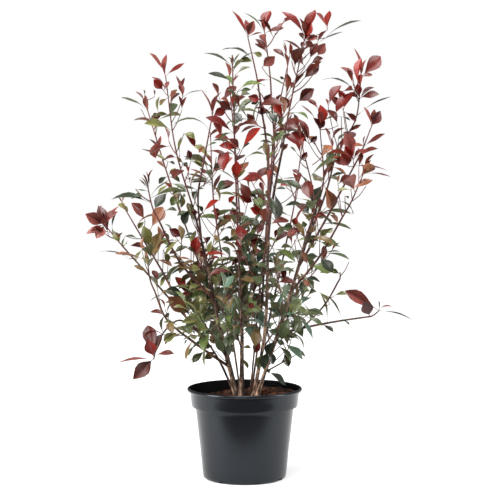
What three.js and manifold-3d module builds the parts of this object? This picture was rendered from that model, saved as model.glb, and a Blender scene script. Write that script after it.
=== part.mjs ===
// A Photinia 'Red Robin' in a round nursery pot: a clump of twelve thin stems from one root,
// side boughs that leave them at a narrow angle, and leafy sprays at the ends and sides.
// Millimetres, +Z up. The origin is the middle of the pot's flat underside, -Y is the plant's front.
import * as THREE from "three";
import { mergeVertices } from "three/addons/utils/BufferGeometryUtils.js";
import Module from "manifold-3d";

const wasm = await Module();
wasm.setup();

// ---------------------------------------------------------------- driving dimensions
const GAP = 0.3; // kept between solids that meet face to face
const CLEAR = 0.8; // kept round every leaf and twig
const FINEST = 0.005; // the shortest edge that a join may leave

const POT = {
  height: 190,
  lipRadius: 120,
  lipDepth: 10,
  lipRoot: 114, // radius of the collar where the lip rolls out of it
  collarRadius: 110.5, // at the collar's foot
  collarBottom: 151,
  wallTopRadius: 103,
  footRadius: 87,
  footRound: 8,
  bevel: 2,
  wall: 2.2,
  floor: 3.2,
  facets: 28,
};
const DRAIN = { count: 8, width: 21, rise: 6, depth: 15, turn: 0.32 };
const SOIL = { level: 170, flatRadius: 44, slope: 0.075, lump: 2.2, lumpLength: [9, 11, 17], facets: 24 };

const STEM_SIDES = 6;
const BOUGH_SIDES = 5;
const TWIG_SIDES = 3;
const RING_SPACING = 74; // length of limb between two rings of corners
const ROOT_FLARE = { widen: 0.5, fade: 14 };

// A full leaf is LEAF.length long. Widths, thickness and arch are shares of a leaf's length.
const LEAF = {
  length: 68,
  sizes: [0.8, 1.08],
  width: 0.43,
  thick: 0.026,
  arch: 0.09,
  waist: 0.54,
  root: 0.8, // height of the edge that sinks into the twig
  joined: 0.3, // the share towards the waist within which leaves may run into each other
  open: [28, 80], // degrees from the twig, at its tip and at its lowest leaf
  stray: 16,
  roll: 50, // most that a blade turns about its own line, in degrees
  droop: 0.3,
  toLight: 0.7, // how far a blade's upper side turns up, against along its twig
  spacing: 29,
  whorl: 2, // leaves at a twig's tip, over and above its spacing
  highest: 0.98, // share of a twig's length where its top leaf is rooted
  leafy: 0.86, // share of a twig that carries leaves
};
const TWIG = {
  stem: { radius: [3.2, 2.4], steps: 3 },
  side: { radius: [1.7, 1.5], steps: 1 },
  between: [0.15, 0.85], // shares of the spray's stem where side twigs leave it
  lean: [34, 58],
  length: [0.42, 0.62], // shares of the spray's reach
  shorten: [1.15, 0.75], // what that is multiplied by, at the foot and at the top of the spray's stem
  lift: 0.2,
};
const GOLDEN_TURN = 2.39996; // from one leaf or twig to the next, in radians

// ---------------------------------------------------------------- the plant's limbs
// Stems rise from the soil. foot is [x, y]; via and tip are [x, y, z]; radius is at foot and tip.
const STEMS = [
  { name: "stem_left_long", foot: [-32, 3], via: [[-64, 12, 262], [-150, 24, 364]],
    tip: [-232, 28, 456], radius: [4.2, 2.2] },
  { name: "stem_left_tall", foot: [-21, -12], via: [[-46, -24, 290], [-82, -34, 470]],
    tip: [-104, -39, 560], radius: [5.2, 2.5] },
  { name: "stem_left_far", foot: [-25, 19], via: [[-58, 66, 330], [-112, 104, 480]],
    tip: [-136, 118, 546], radius: [4.4, 2.2] },
  { name: "stem_centre_left", foot: [-12, 6], via: [[-30, 48, 320], [-44, 78, 420]],
    tip: [-56, 100, 500], radius: [4.2, 2.2] },
  { name: "stem_centre_front", foot: [-4, -13], via: [[-6, -42, 330]],
    tip: [-11, -66, 460], radius: [4.8, 2.6] },
  { name: "stem_centre_back", foot: [-8, 25], via: [[-6, 82, 400], [-8, 106, 490]],
    tip: [-12, 124, 556], radius: [4.2, 2.2] },
  { name: "stem_right_back", foot: [15, 13], via: [[34, 46, 330], [46, 78, 520]],
    tip: [56, 94, 640], radius: [4.6, 2.2] },
  { name: "stem_right_tall", foot: [20, -4], via: [[42, -18, 310], [52, -34, 540]],
    tip: [78, -48, 690], radius: [5.0, 2.3] },
  { name: "stem_right_outer", foot: [34, 7], via: [[84, 10, 345], [128, 10, 490]],
    tip: [148, 10, 560], radius: [5.2, 2.8] },
  { name: "stem_right_second", foot: [33, -13], via: [[80, -50, 350], [112, -74, 460]],
    tip: [124, -82, 506], radius: [4.4, 2.3] },
  { name: "stem_front", foot: [14, -21], via: [[22, -76, 300], [30, -112, 400]],
    tip: [38, -134, 462], radius: [4.2, 2.2] },
  { name: "stem_back", foot: [27, 25], via: [[54, 88, 330], [78, 132, 430]],
    tip: [92, 156, 492], radius: [4.2, 2.2] },
];

// Boughs leave a stem or another bough at a share of its length.
const BOUGHS = [
  { name: "bough_left_low", from: "stem_left_tall", share: 0.17, via: [[-104, -38, 288], [-160, -50, 338]],
    tip: [-184, -54, 396], radius: [3.2, 1.9] },
  { name: "bough_left_arch", from: "stem_left_long", share: 0.42, via: [[-136, -4, 330], [-166, -12, 308]],
    tip: [-183, -17, 270], radius: [2.2, 1.6] },
  { name: "bough_left_mid", from: "stem_left_long", share: 0.55, via: [[-172, 52, 424]],
    tip: [-216, 68, 496], radius: [2.8, 1.9] },
  { name: "bough_left_up", from: "stem_left_tall", share: 0.53, via: [[-132, -62, 456]],
    tip: [-172, -76, 538], radius: [3.0, 1.9] },
  { name: "bough_left_inner", from: "stem_left_tall", share: 0.84, via: [[-94, -66, 592]],
    tip: [-84, -78, 648], radius: [2.2, 1.7] },
  { name: "bough_twin_left", from: "stem_right_tall", share: 0.66, via: [[46, -72, 680]],
    tip: [32, -86, 780], radius: [2.4, 1.8] },
  { name: "bough_twin_right", from: "stem_right_back", share: 0.8, via: [[62, 62, 680]],
    tip: [56, 48, 790], radius: [2.3, 1.8] },
  { name: "bough_right_top", from: "stem_right_outer", share: 0.82, via: [[172, 40, 600]],
    tip: [194, 46, 690], radius: [2.6, 1.8] },
  { name: "bough_right_mid", from: "stem_right_outer", share: 0.7, via: [[178, -22, 560]],
    tip: [224, -34, 650], radius: [2.6, 1.8] },
  { name: "bough_right_side", from: "stem_right_second", share: 0.66, via: [[152, -96, 470]],
    tip: [196, -108, 548], radius: [2.6, 1.8] },
  { name: "bough_right_low", from: "stem_right_outer", share: 0.33, via: [[124, -16, 316], [190, -26, 330]],
    tip: [254, -30, 340], radius: [2.8, 1.7] },
  { name: "bough_right_curl", from: "bough_right_low", share: 0.3, via: [[166, -40, 368]],
    tip: [192, -46, 414], radius: [1.9, 1.6] },
];

// Sprays of twigs and leaves, each in the space within reach of the line from its root to its tip.
// A spray with a share leaves the side of its limb there, and the others go on from its tip.
// leaf is the length of a full leaf and whorl the leaves at a twig's tip, where LEAF's don't hold.
const SPRAYS = [
  { name: "spray_right_tall", from: "stem_right_tall", tip: [122, -64, 926], reach: 84, twigs: 4, leaf: 54 },
  { name: "spray_twin_left", from: "bough_twin_left", tip: [2, -98, 930], reach: 66, twigs: 2, leaf: 52 },
  { name: "spray_twin_right", from: "bough_twin_right", tip: [42, 44, 926], reach: 66, twigs: 2, leaf: 52 },
  { name: "spray_right_back", from: "stem_right_back", tip: [96, 122, 884], reach: 80, twigs: 3, leaf: 58 },
  { name: "spray_centre_front", from: "stem_centre_front", tip: [-24, -128, 870], reach: 80, twigs: 4 },
  { name: "spray_centre_back", from: "stem_centre_back", tip: [-34, 172, 834], reach: 84, twigs: 4 },
  { name: "spray_left_tall", from: "stem_left_tall", tip: [-160, -50, 832], reach: 76, twigs: 4, leaf: 54 },
  { name: "spray_left_far", from: "stem_left_far", tip: [-216, 146, 790], reach: 78, twigs: 4, leaf: 58 },
  { name: "spray_left_inner", from: "bough_left_inner", tip: [-66, -84, 796], reach: 70, twigs: 2 },
  { name: "spray_left_up", from: "bough_left_up", tip: [-212, -86, 658], reach: 78, twigs: 3 },
  { name: "spray_left_mid", from: "bough_left_mid", tip: [-254, 80, 592], reach: 76, twigs: 3 },
  { name: "spray_left_long", from: "stem_left_long", tip: [-284, 34, 530], reach: 60, twigs: 2, leaf: 58 },
  { name: "spray_left_low", from: "bough_left_low", tip: [-196, -58, 486], reach: 70, twigs: 3 },
  { name: "spray_left_arch", from: "bough_left_arch", tip: [-188, -18, 246], reach: 84, twigs: 0, leaf: 76,
    whorl: 6 },
  { name: "spray_centre_left", from: "stem_centre_left", tip: [-74, 132, 722], reach: 80, twigs: 4 },
  { name: "spray_right_top", from: "bough_right_top", tip: [244, 34, 852], reach: 80, twigs: 4, leaf: 60 },
  { name: "spray_right_mid", from: "bough_right_mid", tip: [260, -34, 776], reach: 72, twigs: 3, leaf: 58 },
  { name: "spray_right_inner", from: "stem_right_outer", tip: [156, 0, 752], reach: 78, twigs: 4 },
  { name: "spray_right_side", from: "bough_right_side", tip: [240, -112, 672], reach: 76, twigs: 3 },
  { name: "spray_right_low", from: "bough_right_low", tip: [308, -32, 338], reach: 56, twigs: 1, leaf: 52 },
  { name: "spray_right_curl", from: "bough_right_curl", tip: [174, -52, 462], reach: 64, twigs: 2 },
  { name: "spray_right_second", from: "stem_right_second", tip: [112, -100, 706], reach: 78, twigs: 4 },
  { name: "spray_front", from: "stem_front", tip: [48, -180, 690], reach: 78, twigs: 4 },
  { name: "spray_back", from: "stem_back", tip: [126, 190, 704], reach: 80, twigs: 4 },
  { name: "green_left_front", from: "stem_left_tall", share: 0.22, tip: [-96, -116, 360], reach: 88,
    twigs: 5 },
  { name: "green_left_back", from: "stem_left_far", share: 0.3, tip: [-106, 140, 400], reach: 90, twigs: 5 },
  { name: "green_left", from: "stem_centre_left", share: 0.55, tip: [-124, 36, 450], reach: 80, twigs: 5 },
  { name: "green_front_left", from: "stem_centre_front", share: 0.36, tip: [-34, -148, 372], reach: 86,
    twigs: 5 },
  { name: "green_front_right", from: "stem_right_second", share: 0.26, tip: [98, -136, 372], reach: 86,
    twigs: 5 },
  { name: "green_right", from: "stem_right_outer", share: 0.5, tip: [160, 66, 440], reach: 84, twigs: 5 },
  { name: "green_back_right", from: "stem_back", share: 0.3, tip: [124, 112, 380], reach: 84, twigs: 5 },
  { name: "green_back_left", from: "stem_centre_back", share: 0.3, tip: [-20, 168, 380], reach: 88,
    twigs: 5 },
  { name: "green_centre", from: "stem_right_back", share: 0.42, tip: [12, 6, 510], reach: 84, twigs: 5 },
  { name: "green_low_right", from: "stem_right_outer", share: 0.13, tip: [104, -44, 262], reach: 74,
    twigs: 4 },
];

// ---------------------------------------------------------------- helpers
const vector = ([x, y, z]) => new THREE.Vector3(x, y, z);
const { lerp, degToRad } = THREE.MathUtils;
const UP = new THREE.Vector3(0, 0, 1);

// The Park-Miller generator: the same numbers each time, between 0 and 1.
function seeded(seed) {
  let state = (seed * 7919) % 2147483647;
  return () => (state = (state * 16807) % 2147483647) / 2147483647;
}

function toSolid(geometry) {
  const bare = geometry.clone();
  bare.deleteAttribute("normal");
  bare.deleteAttribute("uv");
  const merged = mergeVertices(bare, 1e-3);
  const corners = [];
  const index = merged.index.array;
  for (let i = 0; i < index.length; i += 3) {
    const [a, b, c] = [index[i], index[i + 1], index[i + 2]];
    if (a !== b && b !== c && c !== a) corners.push(a, b, c);
  }
  return new wasm.Manifold(
    new wasm.Mesh({
      numProp: 3,
      vertProperties: merged.attributes.position.array,
      triVerts: new Uint32Array(corners),
    }),
  );
}

function toGeometry(solid) {
  const mesh = solid.getMesh();
  const geometry = new THREE.BufferGeometry();
  geometry.setAttribute("position", new THREE.BufferAttribute(new Float32Array(mesh.vertProperties), 3));
  geometry.setIndex(new THREE.BufferAttribute(new Uint32Array(mesh.triVerts), 1));
  geometry.computeVertexNormals();
  return geometry;
}

// Whether a join left no edge or sliver so fine that rounding would lose it.
function isSound(solid) {
  const { vertProperties, triVerts } = solid.getMesh();
  const corner = (i) => new THREE.Vector3().fromArray(vertProperties, 3 * triVerts[i]);
  for (let i = 0; i < triVerts.length; i += 3) {
    const triangle = new THREE.Triangle(corner(i), corner(i + 1), corner(i + 2));
    const { a, b, c } = triangle;
    const edges = [a.distanceTo(b), b.distanceTo(c), c.distanceTo(a)];
    const height = (2 * triangle.getArea()) / Math.max(...edges);
    if (Math.min(...edges) < FINEST || height < 0.1 * FINEST) return false;
  }
  return true;
}

// The main body of a solid, without any scrap that a cut left loose.
function mainBody(solid) {
  return solid.decompose().sort((a, b) => b.volume() - a.volume())[0];
}

const smooth = (points) => new THREE.CatmullRomCurve3(points, false, "centripetal");

// ---------------------------------------------------------------- limbs and twigs
// A round tapering limb: a cylinder whose rings are carried onto the curve. A level foot is cut flat.
function limbSolid({ curve, radiusAt, sides, steps, levelFoot }) {
  const frames = curve.computeFrenetFrames(steps);
  const geometry = new THREE.CylinderGeometry(1, 1, 1, sides, steps);
  const position = geometry.getAttribute("position");
  for (let i = 0; i < position.count; i++) {
    const step = Math.round((position.getY(i) + 0.5) * steps);
    const radius = radiusAt(step / steps);
    const centre = curve.getPointAt(step / steps);
    const corner = centre.clone();
    corner.addScaledVector(frames.binormals[step], position.getX(i) * radius);
    corner.addScaledVector(frames.normals[step], position.getZ(i) * radius);
    if (levelFoot && step === 0) {
      const tangent = frames.tangents[0];
      corner.addScaledVector(tangent, (centre.z - corner.z) / tangent.z);
    }
    position.setXYZ(i, corner.x, corner.y, corner.z);
  }
  return toSolid(geometry);
}

// A stem flares at its foot. A bough only tapers. extra fattens either, as a guard round it.
function woodSolid(limb, extra = 0) {
  const [footRadius, tipRadius] = limb.radius;
  const length = limb.curve.getLength();
  const isStem = limb.foot !== undefined;
  const flare = (share) => (isStem ? ROOT_FLARE.widen * Math.exp((-share * length) / ROOT_FLARE.fade) : 0);
  return limbSolid({
    curve: limb.curve,
    radiusAt: (share) => lerp(footRadius, tipRadius, share) * (1 + flare(share)) + extra,
    sides: isStem ? STEM_SIDES : BOUGH_SIDES,
    steps: Math.max(3, Math.round(length / RING_SPACING)),
    levelFoot: isStem,
  });
}

function twigSolid(twig, extra = 0) {
  const radiusAt = (share) => lerp(...twig.radius, share) + extra;
  return limbSolid({ curve: twig.curve, radiusAt, sides: TWIG_SIDES, steps: twig.steps });
}

// A point in the middle of a twig, which runs straight between its rings.
function insideTwig(twig, share) {
  const ring = Math.min(Math.floor(share * twig.steps), twig.steps - 1);
  const next = twig.curve.getPointAt((ring + 1) / twig.steps);
  return twig.curve.getPointAt(ring / twig.steps).lerp(next, share * twig.steps - ring);
}

// ---------------------------------------------------------------- leaves
// A leaf of eight faces: a cone of three sides and two steps, pressed flat. It has an upright edge
// for a root, two margins and the rib under them at its waist, and a tip. extra fattens it and
// start moves its root along it, both for the guard round it.
function leafSolid(leaf, extra = 0, start = 0) {
  const { length, root, along, upper } = leaf;
  const across = new THREE.Vector3().crossVectors(upper, along);
  const geometry = new THREE.ConeGeometry(1, 1, 3, 2);
  const position = geometry.getAttribute("position");
  const rootHeight = lerp(LEAF.root, LEAF.thick * length, start);
  const rings = [
    { reach: start * LEAF.waist, half: start * 0.5 * LEAF.width, height: rootHeight, rise: start },
    { reach: LEAF.waist, half: 0.5 * LEAF.width, height: LEAF.thick * length, rise: 1 },
    { reach: 1 + extra / length, half: 0, height: -2 * extra, rise: -1 },
  ];
  for (let i = 0; i < position.count; i++) {
    const ring = Math.round(2 * (position.getY(i) + 0.5));
    const { reach, half, height, rise } = rings[ring];
    const size = 1 - ring / 2;
    const side = size ? Math.sign(Math.round(position.getX(i) / size)) : 0;
    const under = size && position.getZ(i) / size > 0.6;
    const corner = root.clone().addScaledVector(along, reach * length);
    corner.addScaledVector(across, side * (half * length + (ring < 2 ? extra : 0)));
    const depth = (0.5 * height + extra) * (under ? -1 : 1);
    corner.addScaledVector(upper, rise * LEAF.arch * length + depth);
    position.setXYZ(i, corner.x, corner.y, corner.z);
  }
  return toSolid(geometry);
}

// ---------------------------------------------------------------- the rule of growth
// A unit vector at right angles to a direction, turned round it.
function sideways(direction, turn) {
  const first = new THREE.Vector3().crossVectors(direction, new THREE.Vector3(0, 1, 0)).normalize();
  return first.applyAxisAngle(direction, turn);
}

// The twigs of a spray: its own stem, then side twigs that leave it and turn up to the light.
function growTwigs(spray, root, heading, random) {
  const tip = vector(spray.tip);
  const reach = root.distanceTo(tip);
  const curve = smooth([root, root.clone().addScaledVector(heading, reach / 3), tip]);
  const stem = { curve, ...TWIG.stem };
  const twigs = [stem];
  const firstTurn = 2 * Math.PI * random();
  for (let i = 0; i < spray.twigs; i++) {
    const share = lerp(...TWIG.between, (i + random()) / spray.twigs);
    const start = insideTwig(stem, share);
    const forward = curve.getTangentAt(share);
    const lean = degToRad(lerp(...TWIG.lean, random()));
    const length = spray.reach * lerp(...TWIG.length, random()) * lerp(...TWIG.shorten, share);
    const side = sideways(forward, firstTurn + i * GOLDEN_TURN);
    const away = forward.multiplyScalar(Math.cos(lean)).addScaledVector(side, Math.sin(lean));
    const end = start.clone().addScaledVector(away.addScaledVector(UP, TWIG.lift), length);
    twigs.push({ curve: new THREE.LineCurve3(start, end), ...TWIG.side });
  }
  return twigs;
}

// The leaves of one twig: close and upright at its tip, wider apart and spreading below it.
function growLeaves(twig, spray) {
  const { random } = spray;
  const count = (spray.whorl ?? LEAF.whorl) + Math.round(twig.curve.getLength() / LEAF.spacing);
  const firstTurn = 2 * Math.PI * random();
  const leaves = [];
  for (let i = 0; i < count; i++) {
    const down = i / count;
    const share = LEAF.highest - LEAF.leafy * down;
    const forward = twig.curve.getTangentAt(share);
    const outward = sideways(forward, firstTurn + i * GOLDEN_TURN);
    const open = degToRad(lerp(...LEAF.open, Math.sqrt(down)) + LEAF.stray * (random() - 0.5));
    const along = forward.clone().multiplyScalar(Math.cos(open)).addScaledVector(outward, Math.sin(open));
    along.addScaledVector(UP, -LEAF.droop * down).normalize();
    const upper = forward.clone().addScaledVector(UP, LEAF.toLight).projectOnPlane(along).normalize();
    upper.applyAxisAngle(along, degToRad(LEAF.roll * (2 * random() - 1)));
    const length = (spray.leaf ?? LEAF.length) * lerp(...LEAF.sizes, random());
    leaves.push({ root: insideTwig(twig, share), along, upper, length, down });
  }
  return leaves;
}

// ---------------------------------------------------------------- assembly
const part = new THREE.Group();
const kept = []; // every solid so far, with its box

function keep(name, solid, material) {
  const mesh = new THREE.Mesh(toGeometry(solid), material);
  mesh.name = name;
  part.add(mesh);
  kept.push({ solid, box: solid.boundingBox() });
}

const meets = (a, b) => [0, 1, 2].every((k) => a.min[k] <= b.max[k] && b.min[k] <= a.max[k]);

const plastic = new THREE.MeshStandardMaterial({ color: 0x2c2e33, roughness: 0.42, metalness: 0 });
const compost = new THREE.MeshStandardMaterial({ color: 0x3b241a, roughness: 0.95, metalness: 0 });
const bark = new THREE.MeshStandardMaterial({ color: 0x6a4c40, roughness: 0.8, metalness: 0 });
const redLeaves = new THREE.MeshStandardMaterial({ color: 0x8c2a2c, roughness: 0.4, metalness: 0 });
const greenLeaves = new THREE.MeshStandardMaterial({ color: 0x2f4a34, roughness: 0.4, metalness: 0 });

// ---- pot: thin wall, stepped collar and rolled lip, with drainage notches round the foot
function lathe(profile, facets) {
  const points = profile.map(([radius, height]) => new THREE.Vector2(radius, height));
  return new THREE.LatheGeometry(points, facets).rotateX(Math.PI / 2);
}

// The inner wall, from the middle of the floor to the collar's foot.
const innerWall = [
  [0, POT.floor],
  [POT.footRadius - POT.footRound, POT.floor],
  [POT.footRadius - POT.wall, POT.floor + POT.footRound],
  [POT.wallTopRadius - POT.wall, POT.collarBottom + POT.wall],
  [POT.collarRadius - POT.wall, POT.collarBottom + POT.wall + POT.bevel],
];

function potSolid() {
  const { height, lipRadius, lipRoot, lipDepth, collarRadius, collarBottom, bevel, wall } = POT;
  const outerWall = [
    [0, 0],
    [POT.footRadius - POT.footRound, 0],
    [POT.footRadius - 0.3 * POT.footRound, 0.3 * POT.footRound],
    [POT.footRadius, POT.footRound],
    [POT.wallTopRadius, collarBottom],
    [collarRadius, collarBottom + bevel],
  ];
  const lip = [
    [lipRoot, height - lipDepth],
    [lipRadius, height - 0.5 * lipDepth],
    [lipRadius - bevel, height],
    [lipRoot, height],
    [lipRoot - wall, height - 0.5 * lipDepth],
  ];
  let pot = toSolid(lathe([...outerWall, ...lip, ...innerWall.toReversed()], POT.facets));
  for (let i = 0; i < DRAIN.count; i++) {
    const notch = new THREE.BoxGeometry(DRAIN.depth, DRAIN.width, 2 * DRAIN.rise);
    notch.translate(POT.footRadius, 0, 0).rotateZ(((i + DRAIN.turn) / DRAIN.count) * 2 * Math.PI);
    pot = pot.subtract(toSolid(notch));
  }
  return pot;
}

// ---- compost: fills the pot to the soil level, flat round the feet and lumpy towards the wall
function soilSolid() {
  const shrink = (radius) => Math.max(0, radius * Math.cos(Math.PI / POT.facets) - 2 * GAP);
  const side = innerWall.map(([radius, height]) => [shrink(radius), height + GAP]);
  const edge = shrink(POT.collarRadius - POT.wall);
  const top = [edge, 0.75 * edge, SOIL.flatRadius, 0].map((radius) => [radius, SOIL.level]);
  const geometry = lathe([...side, ...top], SOIL.facets);
  const position = geometry.getAttribute("position");
  const [first, second, third] = SOIL.lumpLength;
  for (let i = 0; i < position.count; i++) {
    const [x, y, z] = [position.getX(i), position.getY(i), position.getZ(i)];
    if (z < SOIL.level - GAP || Math.hypot(x, y) < SOIL.flatRadius + GAP) continue;
    const lumps = Math.sin(x / first) * Math.cos(y / second) + Math.sin((x + 2 * y) / third);
    position.setZ(i, z + SOIL.slope * x + SOIL.lump * lumps);
  }
  return toSolid(geometry);
}

keep("pot", potSolid(), plastic);
keep("soil", soilSolid(), compost);

// ---- stems, then boughs, each cut back from the limb that carries it
const limbs = {};
for (const stem of STEMS) {
  const foot = [...stem.foot, SOIL.level + GAP];
  limbs[stem.name] = { ...stem, curve: smooth([foot, ...stem.via, stem.tip].map(vector)) };
  keep(stem.name, woodSolid(limbs[stem.name]), bark);
}
for (const bough of BOUGHS) {
  const carrier = limbs[bough.from];
  const start = carrier.curve.getPointAt(bough.share);
  limbs[bough.name] = { ...bough, curve: smooth([start, ...[...bough.via, bough.tip].map(vector)]) };
  keep(bough.name, mainBody(woodSolid(limbs[bough.name]).subtract(woodSolid(carrier, GAP))), bark);
}

// ---- sprays: one with a share leaves the side of its limb, and the others go on from its tip
function planSpray(spray, i) {
  const random = seeded(i + 1);
  const carrier = limbs[spray.from];
  const atTip = spray.share === undefined;
  const root = carrier.curve.getPointAt(atTip ? 1 : spray.share);
  const heading = carrier.curve.getTangentAt(1);
  if (atTip) root.addScaledVector(heading, GAP);
  else heading.copy(vector(spray.tip)).sub(root).normalize();
  const twigs = growTwigs(spray, root, heading, random);
  const solid = twigSolid(twigs[0]);
  return { ...spray, random, carrier, atTip, root, twigs, solid, box: solid.boundingBox() };
}

function spraySolid(plan) {
  const others = [...kept, ...plans.filter((other) => other !== plan)];
  const line = new THREE.Line3(plan.root, vector(plan.tip));
  const isClear = (end, guard) => {
    const box = guard.boundingBox();
    const nearest = line.closestPointToPoint(end, true, new THREE.Vector3());
    if (nearest.distanceTo(end) > plan.reach) return false;
    return !others.some((other) => meets(box, other.box) && !guard.intersect(other.solid).isEmpty());
  };
  let solid = plan.solid;
  const join = (piece) => {
    const joined = solid.add(piece);
    const sound = isSound(joined);
    if (sound) solid = joined;
    return sound;
  };
  const [stem, ...sides] = plan.twigs;
  const isOpen = (twig) => isClear(twig.curve.getPointAt(1), twigSolid(twig, CLEAR));
  const twigs = [stem, ...sides.filter((twig) => isOpen(twig) && join(twigSolid(twig)))];

  const leaves = twigs.flatMap((twig) => growLeaves(twig, plan));
  for (const leaf of leaves.sort((a, b) => a.down - b.down)) {
    const end = leaf.root.clone().addScaledVector(leaf.along, leaf.length);
    const blade = leafSolid(leaf, 0.5 * CLEAR, LEAF.joined);
    if (isClear(end, leafSolid(leaf, CLEAR)) && blade.intersect(solid).isEmpty()) join(leafSolid(leaf));
  }
  return mainBody(plan.atTip ? solid : solid.subtract(woodSolid(plan.carrier, GAP)));
}

const plans = SPRAYS.map(planSpray);
for (const plan of plans) {
  keep(plan.name, spraySolid(plan), plan.name.startsWith("green") ? greenLeaves : redLeaves);
}

export default part;
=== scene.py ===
import math

import bpy
import numpy as np
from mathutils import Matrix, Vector


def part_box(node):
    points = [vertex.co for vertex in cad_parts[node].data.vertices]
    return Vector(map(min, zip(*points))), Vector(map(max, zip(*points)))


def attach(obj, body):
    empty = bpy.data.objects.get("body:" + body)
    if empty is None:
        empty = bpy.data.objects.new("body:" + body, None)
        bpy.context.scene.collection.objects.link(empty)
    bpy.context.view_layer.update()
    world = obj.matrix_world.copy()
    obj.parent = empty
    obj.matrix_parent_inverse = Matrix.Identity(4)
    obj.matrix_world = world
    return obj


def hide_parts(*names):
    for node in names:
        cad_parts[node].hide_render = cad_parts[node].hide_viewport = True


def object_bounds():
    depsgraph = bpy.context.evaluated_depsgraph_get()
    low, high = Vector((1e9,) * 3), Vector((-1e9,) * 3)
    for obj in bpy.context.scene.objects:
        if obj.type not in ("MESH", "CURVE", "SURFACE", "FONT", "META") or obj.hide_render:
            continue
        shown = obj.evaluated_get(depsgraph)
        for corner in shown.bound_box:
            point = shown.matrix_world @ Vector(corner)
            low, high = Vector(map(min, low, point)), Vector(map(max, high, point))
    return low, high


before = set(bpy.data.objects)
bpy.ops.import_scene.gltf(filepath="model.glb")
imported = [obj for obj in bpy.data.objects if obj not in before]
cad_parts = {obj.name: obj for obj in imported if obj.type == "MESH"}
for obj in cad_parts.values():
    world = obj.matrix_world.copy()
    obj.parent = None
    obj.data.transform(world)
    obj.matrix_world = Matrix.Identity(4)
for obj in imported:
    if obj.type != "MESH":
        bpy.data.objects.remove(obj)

cad_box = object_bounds()

# ---------------------------------------------------------------- view, light and floor
# The plant is looked at from a little above its middle and from far off, in a white room with four
# large soft lamps: one at each side, one above and one high in front. The pale floor is a round
# sheet, cut off straight in front of the pot, and it glows more the farther out it is.
VIEW_FROM = Vector((0.0112, -3.2, 0.668))
VIEW_AT = Vector((0.0112, 0, 0.476))
LENS = 111.3
ROOM_LIGHT = 0.3
FLOOR_RADIUS = 14
FLOOR_FRONT = -0.29
FLOOR_GLOW = [(0.02, (0.35, 0.35, 0.35, 1)), (0.06, (0.6, 0.6, 0.6, 1)), (0.3, (0.85, 0.85, 0.85, 1))]
# The glow is painted light, counted from a point to the right of the pot, so the floor glows brighter to the
# left.
FLOOR_GLOW_MIDDLE = (0.55, 0, 0)
FLOOR_TINTS = [(0.3, (0.5, 0.5, 0.497, 1)), (0.7, (0.53, 0.53, 0.53, 1))]
LAMPS = {
    "lamp_left": dict(at=(-2.2, -1.0, 1.1), size=(1.0, 2.1), watts=120),
    "lamp_right": dict(at=(2.4, -0.6, 1.2), size=(0.8, 2.2), watts=75),
    "lamp_above": dict(at=(0.1, -0.3, 2.7), size=(1.8, 1.8), watts=128),
    "lamp_front": dict(at=(-0.5, -2.3, 2.9), size=(1.2, 1.2), watts=62),
}

scene = bpy.context.scene
scene.view_settings.view_transform = "Standard"


def add_object(name, data):
    made = bpy.data.objects.new(name, data)
    scene.collection.objects.link(made)
    return made


def aim(thing, place, target):
    thing.location = place
    thing.rotation_euler = (Vector(target) - Vector(place)).to_track_quat("-Z", "Y").to_euler()


camera = add_object("camera", bpy.data.cameras.new("camera"))
camera.data.lens = LENS
aim(camera, VIEW_FROM, VIEW_AT)
scene.camera = camera

for lamp_name, lamp in LAMPS.items():
    light = bpy.data.lights.new(lamp_name, "AREA")
    light.shape = "RECTANGLE"
    light.size, light.size_y = lamp["size"]
    light.energy = lamp["watts"]
    aim(add_object(lamp_name, light), lamp["at"], VIEW_AT)


class Wire:
    """A value in a node tree. Sums on it add Math nodes, so a pattern is written as an expression."""

    def __init__(self, nodes, socket):
        self.nodes = nodes
        self.socket = socket

    def maths(self, operation, first, second):
        return self.nodes.add("ShaderNodeMath", {"operation": operation}, {0: first, 1: second})

    def __add__(self, other):
        return self.maths("ADD", self, other)

    def __sub__(self, other):
        return self.maths("SUBTRACT", self, other)

    def __rsub__(self, other):
        return self.maths("SUBTRACT", other, self)

    def __mul__(self, other):
        return self.maths("MULTIPLY", self, other)

    __radd__ = __add__
    __rmul__ = __mul__

    def above(self, edge):
        return self.maths("GREATER_THAN", self, edge)


class Nodes:
    """A node tree that is built up by one method, which adds any node and wires its sockets."""

    def __init__(self, tree):
        self.tree = tree

    def add(self, kind, settings=None, values=None, output=0):
        node = self.tree.nodes.new(kind)
        for key, setting in (settings or {}).items():
            if key == "stops":
                self.set_stops(node.color_ramp.elements, setting)
            else:
                setattr(node, key, setting)
        for key, value in (values or {}).items():
            self.feed(node.inputs[key], value)
        return Wire(self, node.outputs[output])

    def feed(self, socket, value):
        if isinstance(value, Wire):
            self.tree.links.new(value.socket, socket)
        else:
            socket.default_value = value

    def set_stops(self, elements, stops):
        while len(elements) < len(stops):
            elements.new(1)
        for element, (place, tint) in zip(elements, stops):
            element.position = place
            element.color = tint


def colour(red, green, blue):
    """A screen colour of 0 to 255 a channel, as the renderer counts light."""
    parts = [part / 255 for part in (red, green, blue)]
    return tuple(p / 12.92 if p < 0.04045 else ((p + 0.055) / 1.055) ** 2.4 for p in parts) + (1,)


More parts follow.
